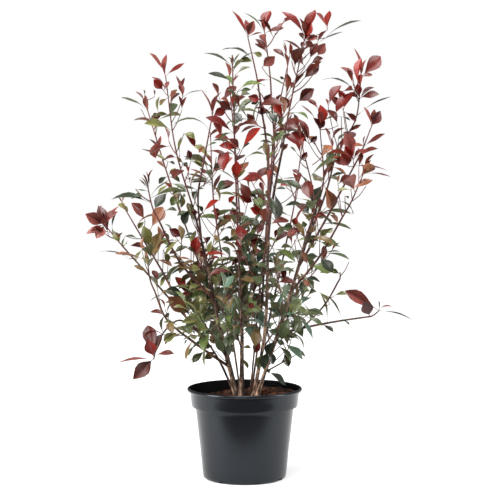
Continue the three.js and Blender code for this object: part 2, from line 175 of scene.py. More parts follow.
class Finish(Nodes):
    """A material made of nodes, with a Principled shader to feed."""

    def __init__(self, name, **constants):
        self.material = bpy.data.materials.new(name)
        self.material.use_nodes = True
        super().__init__(self.material.node_tree)
        self.shader = self.tree.nodes["Principled BSDF"]
        for key, value in constants.items():
            self.set(key.replace("_", " ").title().replace("Ior", "IOR"), value)

    def set(self, socket, value):
        self.feed(self.shader.inputs[socket], value)

    def place(self, stretch=(1, 1, 1)):
        """Where a point is on the object, with the pattern drawn out along some axes."""
        there = self.add("ShaderNodeTexCoord", output="Object")
        return self.add("ShaderNodeMapping", values={"Vector": there, "Scale": stretch})

    def noise(self, scale, detail=3, place=None, roughness=0.5):
        values = {"Vector": place or self.place(), "Scale": scale, "Detail": detail, "Roughness": roughness}
        return self.add("ShaderNodeTexNoise", values=values)

    def ramp(self, factor, *stops):
        return self.add("ShaderNodeValToRGB", {"stops": stops}, {"Fac": factor})

    def mix(self, factor, first, second, blend="MIX"):
        settings = {"data_type": "RGBA", "blend_type": blend}
        return self.add("ShaderNodeMix", settings, {0: factor, 6: first, 7: second}, output=2)

    def relief(self, height, depth, strength=1.0):
        """Feeds a bump of that depth, in metres."""
        values = {"Height": height, "Distance": depth, "Strength": strength}
        self.set("Normal", self.add("ShaderNodeBump", values=values))


world = bpy.data.worlds.new("white_room")
world.use_nodes = True
scene.world = world
room = Nodes(world.node_tree)
is_seen = room.add("ShaderNodeLightPath", output="Is Camera Ray")
backdrop = world.node_tree.nodes["Background"]
room.feed(backdrop.inputs["Strength"], ROOM_LIGHT + is_seen * (1.0 - ROOM_LIGHT))
room.feed(backdrop.inputs["Color"], (1, 1, 1, 1))

floor_finish = Finish("pale_floor", roughness=0.7, specular_ior_level=0.2, emission_strength=1.0)
floor_spot = floor_finish.add("ShaderNodeVectorMath", {"operation": "DISTANCE"},
                              {0: floor_finish.place(), 1: FLOOR_GLOW_MIDDLE}, output=1)
floor_finish.set("Emission Color", floor_finish.ramp(floor_spot * (1 / FLOOR_RADIUS), *FLOOR_GLOW))
floor_grain = floor_finish.noise(3, detail=2)
floor_finish.set("Base Color", floor_finish.ramp(floor_grain, *FLOOR_TINTS))
floor_mesh = bpy.data.meshes.new("floor")
floor_turns = np.linspace(0, 2 * math.pi, 64, endpoint=False)
floor_rim = [(FLOOR_RADIUS * math.cos(turn), max(FLOOR_FRONT, FLOOR_RADIUS * math.sin(turn)), 0)
             for turn in floor_turns]
floor_mesh.from_pydata(floor_rim, [], [list(range(len(floor_rim)))])
floor_mesh.materials.append(floor_finish.material)
add_object("floor", floor_mesh)

# ---------------------------------------------------------------- pot
# A round nursery pot, blown thin from dark recycled polypropylene: a tapered wall, a stepped
# collar that gives it stiffness, a rolled lip, and drainage slots cut through the foot's corner.
POT_WALL = 0.0022
POT_SECTORS = 144
POT_OUTSIDE = [
    (0, 0.0024), (0.052, 0.0024), (0.0545, 0.0012), (0.056, 0), (0.079, 0), (0.0825, 0.0006),
    (0.0855, 0.0032), (0.0868, 0.0078), (0.0886, 0.024), (0.0924, 0.06), (0.0972, 0.1), (0.1018, 0.142),
    (0.1024, 0.1478), (0.1031, 0.1496), (0.1048, 0.1504), (0.1088, 0.1506), (0.1102, 0.1512),
    (0.1108, 0.1528), (0.1113, 0.157), (0.1122, 0.166), (0.1134, 0.1772), (0.1141, 0.1797),
]
FOOT_RIM = 0.003
LIP = dict(middle=(0.1164, 0.1858), radius=0.0036, first=-125, last=160, steps=12)
# Above this height the inward faces take a darker, duller finish: partly dust, partly painted shade inside
# the pot.
DUST_AND_SHADE_FROM = 0.155
SLOTS = dict(count=8, width=0.019, rise=0.0058, middle=0.087, depth=0.015, turn=0.32)
SLOT_OUTLINE = [(-0.5, -1), (0.5, -1), (0.5, 0.62), (0.38, 1), (-0.38, 1), (-0.5, 0.62)]


def lathe(name, profile, sectors):
    """A closed round piece from its half outline, which starts and ends on the axis."""
    turns = np.arange(sectors) * 2 * math.pi / sectors
    rings = [point for point in profile if point[0] > 0]
    corners = [(r * math.cos(turn), r * math.sin(turn), z) for r, z in rings for turn in turns]
    first_pole = len(corners)
    corners += [(0, 0, profile[0][1]), (0, 0, profile[-1][1])]
    faces = []
    for i in range(sectors):
        j = (i + 1) % sectors
        faces.append((first_pole, j, i))
        for ring in range(len(rings) - 1):
            low, high = ring * sectors, (ring + 1) * sectors
            faces.append((low + i, low + j, high + j, high + i))
        top = (len(rings) - 1) * sectors
        faces.append((first_pole + 1, top + i, top + j))
    mesh = bpy.data.meshes.new(name)
    mesh.from_pydata(corners, [], faces)
    return add_object(name, mesh)


def settle(source, finish, sharp=40):
    """Makes an object's modifiers part of its mesh, on an object of its own, with smooth faces."""
    bpy.context.view_layer.update()
    mesh = bpy.data.meshes.new_from_object(source.evaluated_get(bpy.context.evaluated_depsgraph_get()))
    name = source.name
    bpy.data.objects.remove(source)
    mesh.materials.clear()
    mesh.materials.append(finish.material)
    mesh.shade_smooth()
    mesh.set_sharp_from_angle(angle=math.radians(sharp))
    return add_object(name, mesh)


lip_turns = np.radians(np.linspace(LIP["first"], LIP["last"], LIP["steps"]))
lip = [(LIP["middle"][0] + LIP["radius"] * math.cos(turn), LIP["middle"][1] + LIP["radius"] * math.sin(turn))
       for turn in lip_turns]
pot_inside = [(max(r - POT_WALL, 0), z + POT_WALL) for r, z in POT_OUTSIDE if z > FOOT_RIM or r == 0]
pot_shell = lathe("pot_shell", POT_OUTSIDE + lip + pot_inside[::-1], POT_SECTORS)

# Each slot is cut by a block with its upper corners taken off, which reaches through the foot.
slot_corners = []
slot_faces = []
corner_count = len(SLOT_OUTLINE)
for i in range(SLOTS["count"]):
    turn = (i + SLOTS["turn"]) / SLOTS["count"] * 2 * math.pi
    out = np.array([math.cos(turn), math.sin(turn)])
    across = np.array([-math.sin(turn), math.cos(turn)])
    inner = range(len(slot_corners), len(slot_corners) + corner_count)
    for reach in (SLOTS["middle"] - SLOTS["depth"] / 2, SLOTS["middle"] + SLOTS["depth"] / 2):
        for side, rise in SLOT_OUTLINE:
            flat = out * reach + across * side * SLOTS["width"]
            slot_corners.append((*flat, rise * SLOTS["rise"]))
    slot_faces.append(list(inner)[::-1])
    slot_faces.append([k + corner_count for k in inner])
    for k, n in zip(inner, [*inner[1:], inner[0]]):
        slot_faces.append([k, n, n + corner_count, k + corner_count])
slot_mesh = bpy.data.meshes.new("slots")
slot_mesh.from_pydata(slot_corners, [], slot_faces)
slots = add_object("slots", slot_mesh)
cut = pot_shell.modifiers.new("slots", "BOOLEAN")
cut.operation = "DIFFERENCE"
cut.solver = "EXACT"
cut.object = slots

plastic = Finish("dark_plastic", specular_ior_level=0.31, specular_tint=(0.84, 0.92, 1, 1))
flow = plastic.noise(9, detail=4, place=plastic.place((1, 1, 0.15)))
smudge = plastic.noise(22, detail=6, roughness=0.7)
grain = plastic.noise(900, detail=2)
plastic.set("Base Color", plastic.ramp(flow, (0.3, colour(10, 11, 14)), (0.75, colour(17, 19, 23))))
plastic.set("Roughness", 0.16 + smudge * 0.16)
plastic.relief(grain * 0.25 + flow * 0.75, 0.0004, 0.5)

# The inner wall's finish: dust, and painted shade for the deep shade inside the pot.
dusty_shaded = Finish("dusty_plastic", roughness=0.85, specular_ior_level=0.06)
dust_and_shade_mottle = dusty_shaded.noise(60, detail=5, roughness=0.7)
dusty_shaded.set("Base Color", dusty_shaded.ramp(dust_and_shade_mottle, (0.4, colour(7, 7, 9)), (0.75, colour(16, 14, 14))))
dusty_shaded.relief(dust_and_shade_mottle, 0.0004, 0.4)

pot = settle(pot_shell, plastic, 34)
pot.data.materials.append(dusty_shaded.material)
# Inward faces above that height take the second finish, with its painted shade.
for face in pot.data.polygons:
    outward = Vector((*face.center.xy, 0)).dot(face.normal)
    face.material_index = int(face.center.z > DUST_AND_SHADE_FROM and outward < 0)
bpy.data.objects.remove(slots)
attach(pot, "root")
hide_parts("pot")

# ---------------------------------------------------------------- compost
# The pot is filled with dark bark compost, pressed in by hand. Its crumbly top is higher at the
# right, and flakes of shredded bark lie loose all over it.
SOIL_LEVEL = 0.17
SOIL_SLOPE = 0.075
SOIL_CALM = 0.03
LUMP_HEIGHT = 0.0019
CRUMB_HEIGHT = 0.0007
SOIL_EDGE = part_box("soil")[1].x
SOIL_SIDE = [(0.0833, 0.0052), (0.0867, 0.03), (0.099, 0.1535), (SOIL_EDGE - 0.0005, 0.157)]
SOIL_RINGS = 44
SOIL_SECTORS = 110
FLAKES = {
    "bark_flakes": dict(density=17000, length=0.0088, least=0.45, most=1.55, reach=0.096, seed=4),
    "bark_crumbs": dict(density=52000, length=0.0034, least=0.5, most=1.6, reach=0.1, seed=9),
}
FLAKE_SHAPE = (1, 0.52, 0.24)
FLAKE_TILT = 0.45
FLAKE_TEAR = dict(scale=260, depth=0.75)
LEVEL_ENOUGH = 0.6


def soil_height(x, y):
    """The lie of the compost: level among the stems, then a slope with lumps, and crumbs all over."""
    lumps = np.sin(x / 0.009) * np.cos(y / 0.011) + np.sin((x + 2 * y) / 0.017)
    crumbs = np.sin(x / 0.0031 + 2 * np.sin(y / 0.0042)) * np.cos(y / 0.0035)
    away = np.clip((np.hypot(x, y) - SOIL_CALM) / SOIL_CALM, 0, 1)
    return SOIL_LEVEL + SOIL_SLOPE * x * away + LUMP_HEIGHT * lumps * away + CRUMB_HEIGHT * crumbs


soil_top = [(SOIL_EDGE * share, SOIL_LEVEL) for share in np.linspace(1, 0.02, SOIL_RINGS)]
soil_foot = (0, SOIL_SIDE[0][1])
compost_bed = lathe("compost", [soil_foot, *SOIL_SIDE, *soil_top, (0, SOIL_LEVEL)], SOIL_SECTORS)
bed = np.empty(3 * len(compost_bed.data.vertices))
compost_bed.data.vertices.foreach_get("co", bed)
bed = bed.reshape(-1, 3)
on_top = bed[:, 2] >= SOIL_LEVEL - 1e-6
bed[on_top, 2] = soil_height(bed[on_top, 0], bed[on_top, 1])
compost_bed.data.vertices.foreach_set("co", bed.ravel())

compost = Finish("bark_compost", roughness=0.95, specular_ior_level=0.25)
clods = compost.noise(160, detail=8, roughness=0.7)
compost.set("Base Color", compost.ramp(clods, (0.3, colour(20, 13, 11)), (0.52, colour(46, 29, 22)),
                                       (0.72, colour(82, 52, 36))))
compost.relief(clods, 0.0025, 0.9)


def node_group(name, *sockets):
    """A Geometry Nodes tree with its inputs, and the node that takes its result."""
    tree = bpy.data.node_groups.new(name, "GeometryNodeTree")
    tree.interface.new_socket("Geometry", in_out="INPUT", socket_type="NodeSocketGeometry")
    for socket, kind in sockets:
        tree.interface.new_socket(socket, in_out="INPUT", socket_type="NodeSocket" + kind)
    tree.interface.new_socket("Geometry", in_out="OUTPUT", socket_type="NodeSocketGeometry")
    nodes = Nodes(tree)
    source = tree.nodes.new("NodeGroupInput")
    inputs = {item.name: Wire(nodes, item) for item in source.outputs if item.name}
    return nodes, inputs, tree.nodes.new("NodeGroupOutput")


def grow_with(thing, nodes, **values):
    """Puts a Geometry Nodes tree on an object, with its inputs set."""
    modifier = thing.modifiers.new(nodes.tree.name, "NODES")
    modifier.node_group = nodes.tree
    for item in nodes.tree.interface.items_tree:
        if item.in_out == "INPUT" and item.name.lower() in values:
            modifier[item.identifier] = values[item.name.lower()]


flakes, asked, flakes_out = node_group(
    "loose_bark", ("Density", "Float"), ("Length", "Float"), ("Least", "Float"), ("Most", "Float"),
    ("Reach", "Float"), ("Seed", "Int"), ("Finish", "Material"))
facing = flakes.add("GeometryNodeInputNormal")
facing_up = flakes.add("ShaderNodeSeparateXYZ", values={0: facing}, output="Z").above(LEVEL_ENOUGH)
spot = flakes.add("GeometryNodeInputPosition")
flat = flakes.add("ShaderNodeVectorMath", {"operation": "MULTIPLY"}, {0: spot, 1: (1, 1, 0)})
from_middle = flakes.add("ShaderNodeVectorMath", {"operation": "LENGTH"}, {0: flat}, output=1)
clear_of_wall = (asked["Reach"] - from_middle).above(0)
lying = flakes.add("GeometryNodeDistributePointsOnFaces", {"distribute_method": "RANDOM"}, {
    "Mesh": asked["Geometry"], "Selection": facing_up * clear_of_wall,
    "Density": asked["Density"], "Seed": asked["Seed"]})
block = flakes.add("GeometryNodeMeshCube", values={
    "Size": FLAKE_SHAPE, "Vertices X": 3, "Vertices Y": 3})
flat_turn = flakes.add("FunctionNodeRandomValue", {"data_type": "FLOAT_VECTOR"}, {
    0: (-FLAKE_TILT, -FLAKE_TILT, -math.pi), 1: (FLAKE_TILT, FLAKE_TILT, math.pi),
    "Seed": asked["Seed"]})
size = flakes.add("FunctionNodeRandomValue", {"data_type": "FLOAT"},
                  {2: asked["Least"], 3: asked["Most"], "Seed": asked["Seed"]}, output=1)
laid = flakes.add("GeometryNodeInstanceOnPoints", values={
    "Points": lying, "Instance": block, "Rotation": flat_turn, "Scale": size * asked["Length"]})
loose = flakes.add("GeometryNodeRealizeInstances", values={0: laid})
ragged = flakes.add("ShaderNodeTexNoise", values={
    "Vector": spot, "Scale": FLAKE_TEAR["scale"], "Detail": 2}, output="Color")
even = flakes.add("ShaderNodeVectorMath", {"operation": "SUBTRACT"}, {0: ragged, 1: (0.5, 0.5, 0.5)})
shift = flakes.add("ShaderNodeVectorMath", {"operation": "SCALE"},
                   {0: even, "Scale": asked["Length"] * FLAKE_TEAR["depth"]})
torn = flakes.add("GeometryNodeSetPosition", values={"Geometry": loose, "Offset": shift})
flakes.feed(flakes_out.inputs[0],
            flakes.add("GeometryNodeSetMaterial", values={"Geometry": torn, "Material": asked["Finish"]}))

bark_flake = Finish("shredded_bark", roughness=0.9, specular_ior_level=0.3)
flake_tint = bark_flake.noise(70, detail=2)
flake_fibre = bark_flake.noise(420, detail=4)
flake_colour = bark_flake.ramp(flake_tint, (0.3, colour(34, 19, 15)), (0.5, colour(72, 40, 28)),
                               (0.68, colour(116, 74, 52)))
bark_flake.set("Base Color", bark_flake.mix(0.35, flake_colour, flake_fibre, "OVERLAY"))
bark_flake.relief(flake_fibre, 0.0008, 0.6)

for flake_name, flake in FLAKES.items():
    layer = add_object(flake_name, compost_bed.data.copy())
    grow_with(layer, flakes, finish=bark_flake.material, **flake)
    layer = settle(layer, bark_flake, 30)
    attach(layer, "root")
    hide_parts("soil")

compost_top = settle(compost_bed, compost, 60)
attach(compost_top, "root")
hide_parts("soil")

# ---------------------------------------------------------------- stems
# A dozen woody stems rise close together from one root in two clumps, and lean outwards. Their
# bark is grey-brown and finely cracked at the foot, and thins to smooth dark red wood higher up.
STEMS = {
    "stem_left_long": dict(
        foot=(-0.018, 0.002), via=[(-0.064, 0.012, 0.262), (-0.150, 0.024, 0.364)],
        tip=(-0.232, 0.028, 0.456), radius=(0.0024, 0.0019)),
    "stem_left_tall": dict(
        foot=(-0.017, -0.009), via=[(-0.046, -0.024, 0.290), (-0.082, -0.034, 0.470)],
        tip=(-0.104, -0.039, 0.560), radius=(0.0044, 0.0023)),
    "stem_left_far": dict(
        foot=(-0.013, 0.012), via=[(-0.058, 0.066, 0.330), (-0.112, 0.104, 0.480)],
        tip=(-0.136, 0.118, 0.546), radius=(0.0023, 0.0018)),
    "stem_centre_left": dict(
        foot=(-0.008, 0.004), via=[(-0.030, 0.048, 0.320), (-0.044, 0.078, 0.420)],
        tip=(-0.056, 0.100, 0.500), radius=(0.0019, 0.0017)),
    "stem_centre_front": dict(
        foot=(-0.008, -0.010), via=[(-0.006, -0.042, 0.330)], tip=(-0.011, -0.066, 0.460),
        radius=(0.0042, 0.0023)),
    "stem_centre_back": dict(
        foot=(-0.003, 0.016), via=[(-0.006, 0.082, 0.400), (-0.008, 0.106, 0.490)],
        tip=(-0.012, 0.124, 0.556), radius=(0.0025, 0.0019)),
    "stem_right_back": dict(
        foot=(0.014, 0.012), via=[(0.034, 0.046, 0.330), (0.046, 0.078, 0.520)],
        tip=(0.056, 0.094, 0.640), radius=(0.0023, 0.0018)),
    "stem_right_tall": dict(
        foot=(0.018, -0.008), via=[(0.042, -0.018, 0.310), (0.052, -0.034, 0.540)],
        tip=(0.078, -0.048, 0.690), radius=(0.0044, 0.0022)),
    "stem_right_outer": dict(
        foot=(0.026, 0.005), via=[(0.084, 0.010, 0.345), (0.128, 0.010, 0.490)],
        tip=(0.148, 0.010, 0.560), radius=(0.0042, 0.0023)),
    "stem_right_second": dict(
        foot=(0.024, -0.014), via=[(0.080, -0.050, 0.350), (0.112, -0.074, 0.460)],
        tip=(0.124, -0.082, 0.506), radius=(0.0032, 0.0020)),
    "stem_front": dict(
        foot=(0.011, -0.004), via=[(0.022, -0.076, 0.300), (0.030, -0.112, 0.400)],
        tip=(0.038, -0.134, 0.462), radius=(0.0019, 0.0017)),
    "stem_back": dict(
        foot=(0.020, 0.018), via=[(0.054, 0.088, 0.330), (0.078, 0.132, 0.430)],
        tip=(0.092, 0.156, 0.492), radius=(0.0024, 0.0018)),
}
STEM_SUNK = 0.012
STEM_TAPER = 0.55
OLD_STEM_RADIUS = 0.003
ROOT_FLARE = dict(widen=0.6, fade=0.016)
PATH_STEP = 0.004
CURVE_STEPS = 33
BARK_RELIEF = dict(stretch=(1, 1, 0.3), cracks=420, knots=70, knotty=1.4)
BARK = dict(fibres=300, flecks=110, patches=45, uneven=3.2, dark=0.45, light=1.6, depth=0.0009)
CRACK = (30, 20, 17)


def smooth_path(points, step=PATH_STEP):
    """Evenly spaced places on the smooth curve through the points, a centripetal Catmull-Rom curve."""
    p = np.array(points, float)
    p = np.vstack([2 * p[0] - p[1], p, 2 * p[-1] - p[-2]])
    gaps = np.sqrt(np.linalg.norm(np.diff(p, axis=0), axis=1))
    t = np.linspace(0, 1, CURVE_STEPS)[:, None]
    places = []
    for i in range(1, len(p) - 2):
        a, b, c = gaps[i - 1:i + 2]
        here = b * ((p[i] - p[i - 1]) / a - (p[i + 1] - p[i - 1]) / (a + b) + (p[i + 1] - p[i]) / b)
        there = b * ((p[i + 1] - p[i]) / b - (p[i + 2] - p[i]) / (b + c) + (p[i + 2] - p[i + 1]) / c)
        square = 3 * (p[i + 1] - p[i]) - 2 * here - there
        cube = 2 * (p[i] - p[i + 1]) + here + there
        places.append(p[i] + here * t + square * t**2 + cube * t**3)
    places = np.vstack(places)
    along = np.concatenate([[0], np.cumsum(np.linalg.norm(np.diff(places, axis=0), axis=1))])
    stops = np.linspace(0, along[-1], max(3, round(along[-1] / step) + 1))
    return np.stack([np.interp(stops, along, places[:, axis]) for axis in range(3)], axis=1)


def length_of(path):
    return np.linalg.norm(np.diff(path, axis=0), axis=1).sum()


def point_at(path, share):
    where = share * (len(path) - 1)
    i = min(int(where), len(path) - 2)
    return path[i] + (path[i + 1] - path[i]) * (where - i)


def unit(direction):
    return direction / np.linalg.norm(direction)


def heading_at(path, share):
    i = min(int(share * (len(path) - 1)), len(path) - 2)
    return unit(path[i + 1] - path[i])


wood, asked, wood_out = node_group("wood", ("Ring", "Float"), ("Sides", "Int"), ("Relief", "Float"),
                                   ("Finish", "Material"))
stretches = wood.add("GeometryNodeResampleCurve", {"mode": "LENGTH"},
                     {"Curve": asked["Geometry"], "Length": asked["Ring"]})
section = wood.add("GeometryNodeCurvePrimitiveCircle", values={"Resolution": asked["Sides"], "Radius": 1})
thickness = wood.add("GeometryNodeInputRadius")
tube = wood.add("GeometryNodeCurveToMesh", values={
    "Curve": stretches, "Profile Curve": section, "Scale": thickness, "Fill Caps": True})
spot = wood.add("ShaderNodeVectorMath", {"operation": "MULTIPLY"},
                {0: wood.add("GeometryNodeInputPosition"), 1: BARK_RELIEF["stretch"]})
cracks = wood.add("ShaderNodeTexNoise", values={
    "Vector": spot, "Scale": BARK_RELIEF["cracks"], "Detail": 3, "Roughness": 0.6})
knots = wood.add("ShaderNodeTexNoise", values={
    "Vector": spot, "Scale": BARK_RELIEF["knots"], "Detail": 1})
rise = (cracks - 0.5 + (knots - 0.5) * BARK_RELIEF["knotty"]) * asked["Relief"]
push = wood.add("ShaderNodeVectorMath", {"operation": "SCALE"},
                {0: wood.add("GeometryNodeInputNormal"), "Scale": rise})
barked = wood.add("GeometryNodeSetPosition", values={"Geometry": tube, "Offset": push})
whole = wood.add("GeometryNodeRealizeInstances", values={0: barked})
wood.feed(wood_out.inputs[0],
          wood.add("GeometryNodeSetMaterial", values={"Geometry": whole, "Material": asked["Finish"]}))


def wood_piece(name, limbs, finish, **sizes):
    """One mesh of all these limbs, each a path and the radius at every place on it."""
    curve = bpy.data.curves.new(name, "CURVE")
    curve.dimensions = "3D"
    for path, radii in limbs:
        spline = curve.splines.new("POLY")
        spline.points.add(len(path) - 1)
        spline.points.foreach_set("co", np.hstack([path, np.ones((len(path), 1))]).ravel())
        spline.points.foreach_set("radius", np.asarray(radii, float))
    line = add_object(name, curve)
    grow_with(line, wood, finish=finish.material, **sizes)
    return settle(line, finish, 60)


def bark_finish(name, low, high, foot, top, crack):
    """Bark that turns from one colour to another between two heights, with darker cracks."""
    bark = Finish(name, roughness=0.6, specular_ior_level=0.25)
    there = bark.add("ShaderNodeTexCoord", output="Object")
    height = bark.add("ShaderNodeSeparateXYZ", values={0: there}, output="Z")
    climb = bark.add("ShaderNodeMapRange", values={"Value": height, "From Min": low, "From Max": high})
    fibre = bark.noise(BARK["fibres"], detail=5, place=bark.place((1, 1, 0.22)), roughness=0.65)
    patch = bark.noise(BARK["patches"], detail=3, place=bark.place((1, 1, 0.25)))
    mottle = bark.noise(BARK["flecks"], detail=4, place=bark.place((1, 1, 0.4)), roughness=0.6)
    dark = colour(*[BARK["dark"] * part for part in foot])
    light = colour(*[min(255, BARK["light"] * part) for part in foot])
    fleck = bark.ramp(mottle, (0.38, dark), (0.5, colour(*foot)), (0.6, light))
    wood_colour = bark.mix(climb + (patch - 0.5) * BARK["uneven"], fleck, colour(*top))
    gap = bark.ramp(fibre, (0.36, (1, 1, 1, 1)), (0.52, (0, 0, 0, 1)))
    bark.set("Base Color", bark.mix(gap * crack, wood_colour, colour(*CRACK)))
    bark.relief(fibre, BARK["depth"], 0.7)
    return bark


STEM_BARKS = {
    "old_stems": bark_finish("cracked_bark", 0.24, 0.55, (132, 108, 90), (54, 33, 27), 1.0),
    "young_stems": bark_finish("young_bark", 0.17, 0.3, (74, 54, 42), (52, 30, 25), 0.5),
}
limbs = {}
stem_limbs = {"old_stems": {}, "young_stems": {}}
for stem_name, stem in STEMS.items():
    foot = np.array([*stem["foot"], SOIL_LEVEL])
    path = smooth_path([foot, *stem["via"], stem["tip"]])
    limbs[stem_name] = path
    sunk = foot + (foot - path[1]) / PATH_STEP * STEM_SUNK
    along = np.linspace(0, 1, len(path))
    flare = 1 + ROOT_FLARE["widen"] * np.exp(-along * length_of(path) / ROOT_FLARE["fade"])
    thick, thin = stem["radius"]
    radii = (thick + (thin - thick) * along**STEM_TAPER) * flare
    age = "old_stems" if thick > OLD_STEM_RADIUS else "young_stems"
    stem_limbs[age][stem_name] = (np.vstack([sunk, path]), np.concatenate([[radii[0]], radii]))
for age, bark in STEM_BARKS.items():
    stems = wood_piece(age, stem_limbs[age].values(), bark, ring=0.0026, sides=14, relief=0.0011)
    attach(stems, "root")
    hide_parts(*stem_limbs[age])

# ---------------------------------------------------------------- boughs
# Eleven side boughs fork off the stems at a narrow angle and bend up to the light, and a twelfth
# forks off one of them. They are last year's wood, smoother and redder than the stems' feet.
BOUGHS = {
    "bough_left_low": dict(
        on="stem_left_tall", share=0.17, tip=(-0.184, -0.054, 0.396), radius=(0.0032, 0.0019),
        via=[(-0.104, -0.038, 0.288), (-0.160, -0.050, 0.338)]),
    "bough_left_arch": dict(
        on="stem_left_long", share=0.42, tip=(-0.183, -0.017, 0.270), radius=(0.0022, 0.0016),
        via=[(-0.136, -0.004, 0.330), (-0.166, -0.012, 0.308)]),
    "bough_left_mid": dict(
        on="stem_left_long", share=0.55, tip=(-0.216, 0.068, 0.496), radius=(0.0028, 0.0019),
        via=[(-0.172, 0.052, 0.424)]),
    "bough_left_up": dict(
        on="stem_left_tall", share=0.53, tip=(-0.172, -0.076, 0.538), radius=(0.003, 0.0019),
        via=[(-0.132, -0.062, 0.456)]),
    "bough_left_inner": dict(
        on="stem_left_tall", share=0.84, tip=(-0.084, -0.078, 0.648), radius=(0.0022, 0.0017),
        via=[(-0.094, -0.066, 0.592)]),
    "bough_twin_left": dict(
        on="stem_right_tall", share=0.66, tip=(0.032, -0.086, 0.780), radius=(0.0024, 0.0018),
        via=[(0.046, -0.072, 0.680)]),
    "bough_twin_right": dict(
        on="stem_right_back", share=0.8, tip=(0.056, 0.048, 0.790), radius=(0.0023, 0.0018),
        via=[(0.062, 0.062, 0.680)]),
    "bough_right_top": dict(
        on="stem_right_outer", share=0.82, tip=(0.194, 0.046, 0.690), radius=(0.0026, 0.0018),
        via=[(0.172, 0.040, 0.600)]),
    "bough_right_mid": dict(
        on="stem_right_outer", share=0.7, tip=(0.224, -0.034, 0.650), radius=(0.0026, 0.0018),
        via=[(0.178, -0.022, 0.560)]),
    "bough_right_side": dict(
        on="stem_right_second", share=0.66, tip=(0.196, -0.108, 0.548), radius=(0.0026, 0.0018),
        via=[(0.152, -0.096, 0.470)]),
    "bough_right_low": dict(
        on="stem_right_outer", share=0.33, tip=(0.254, -0.030, 0.340), radius=(0.0028, 0.0017),
        via=[(0.124, -0.016, 0.316), (0.190, -0.026, 0.330)]),
    "bough_right_curl": dict(
        on="bough_right_low", share=0.3, tip=(0.192, -0.046, 0.414), radius=(0.0019, 0.0016),
        via=[(0.166, -0.040, 0.368)]),
}

bough_bark = bark_finish("bough_bark", 0.26, 0.55, (80, 54, 42), (66, 34, 30), 0.4)
bough_limbs = []
for bough_name, bough in BOUGHS.items():
    path = smooth_path([point_at(limbs[bough["on"]], bough["share"]), *bough["via"], bough["tip"]])
    limbs[bough_name] = path
    bough_limbs.append((path, np.linspace(*bough["radius"], len(path))))
boughs = wood_piece("boughs", bough_limbs, bough_bark, ring=0.003, sides=10, relief=0.0006)
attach(boughs, "root")
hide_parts(*BOUGHS)

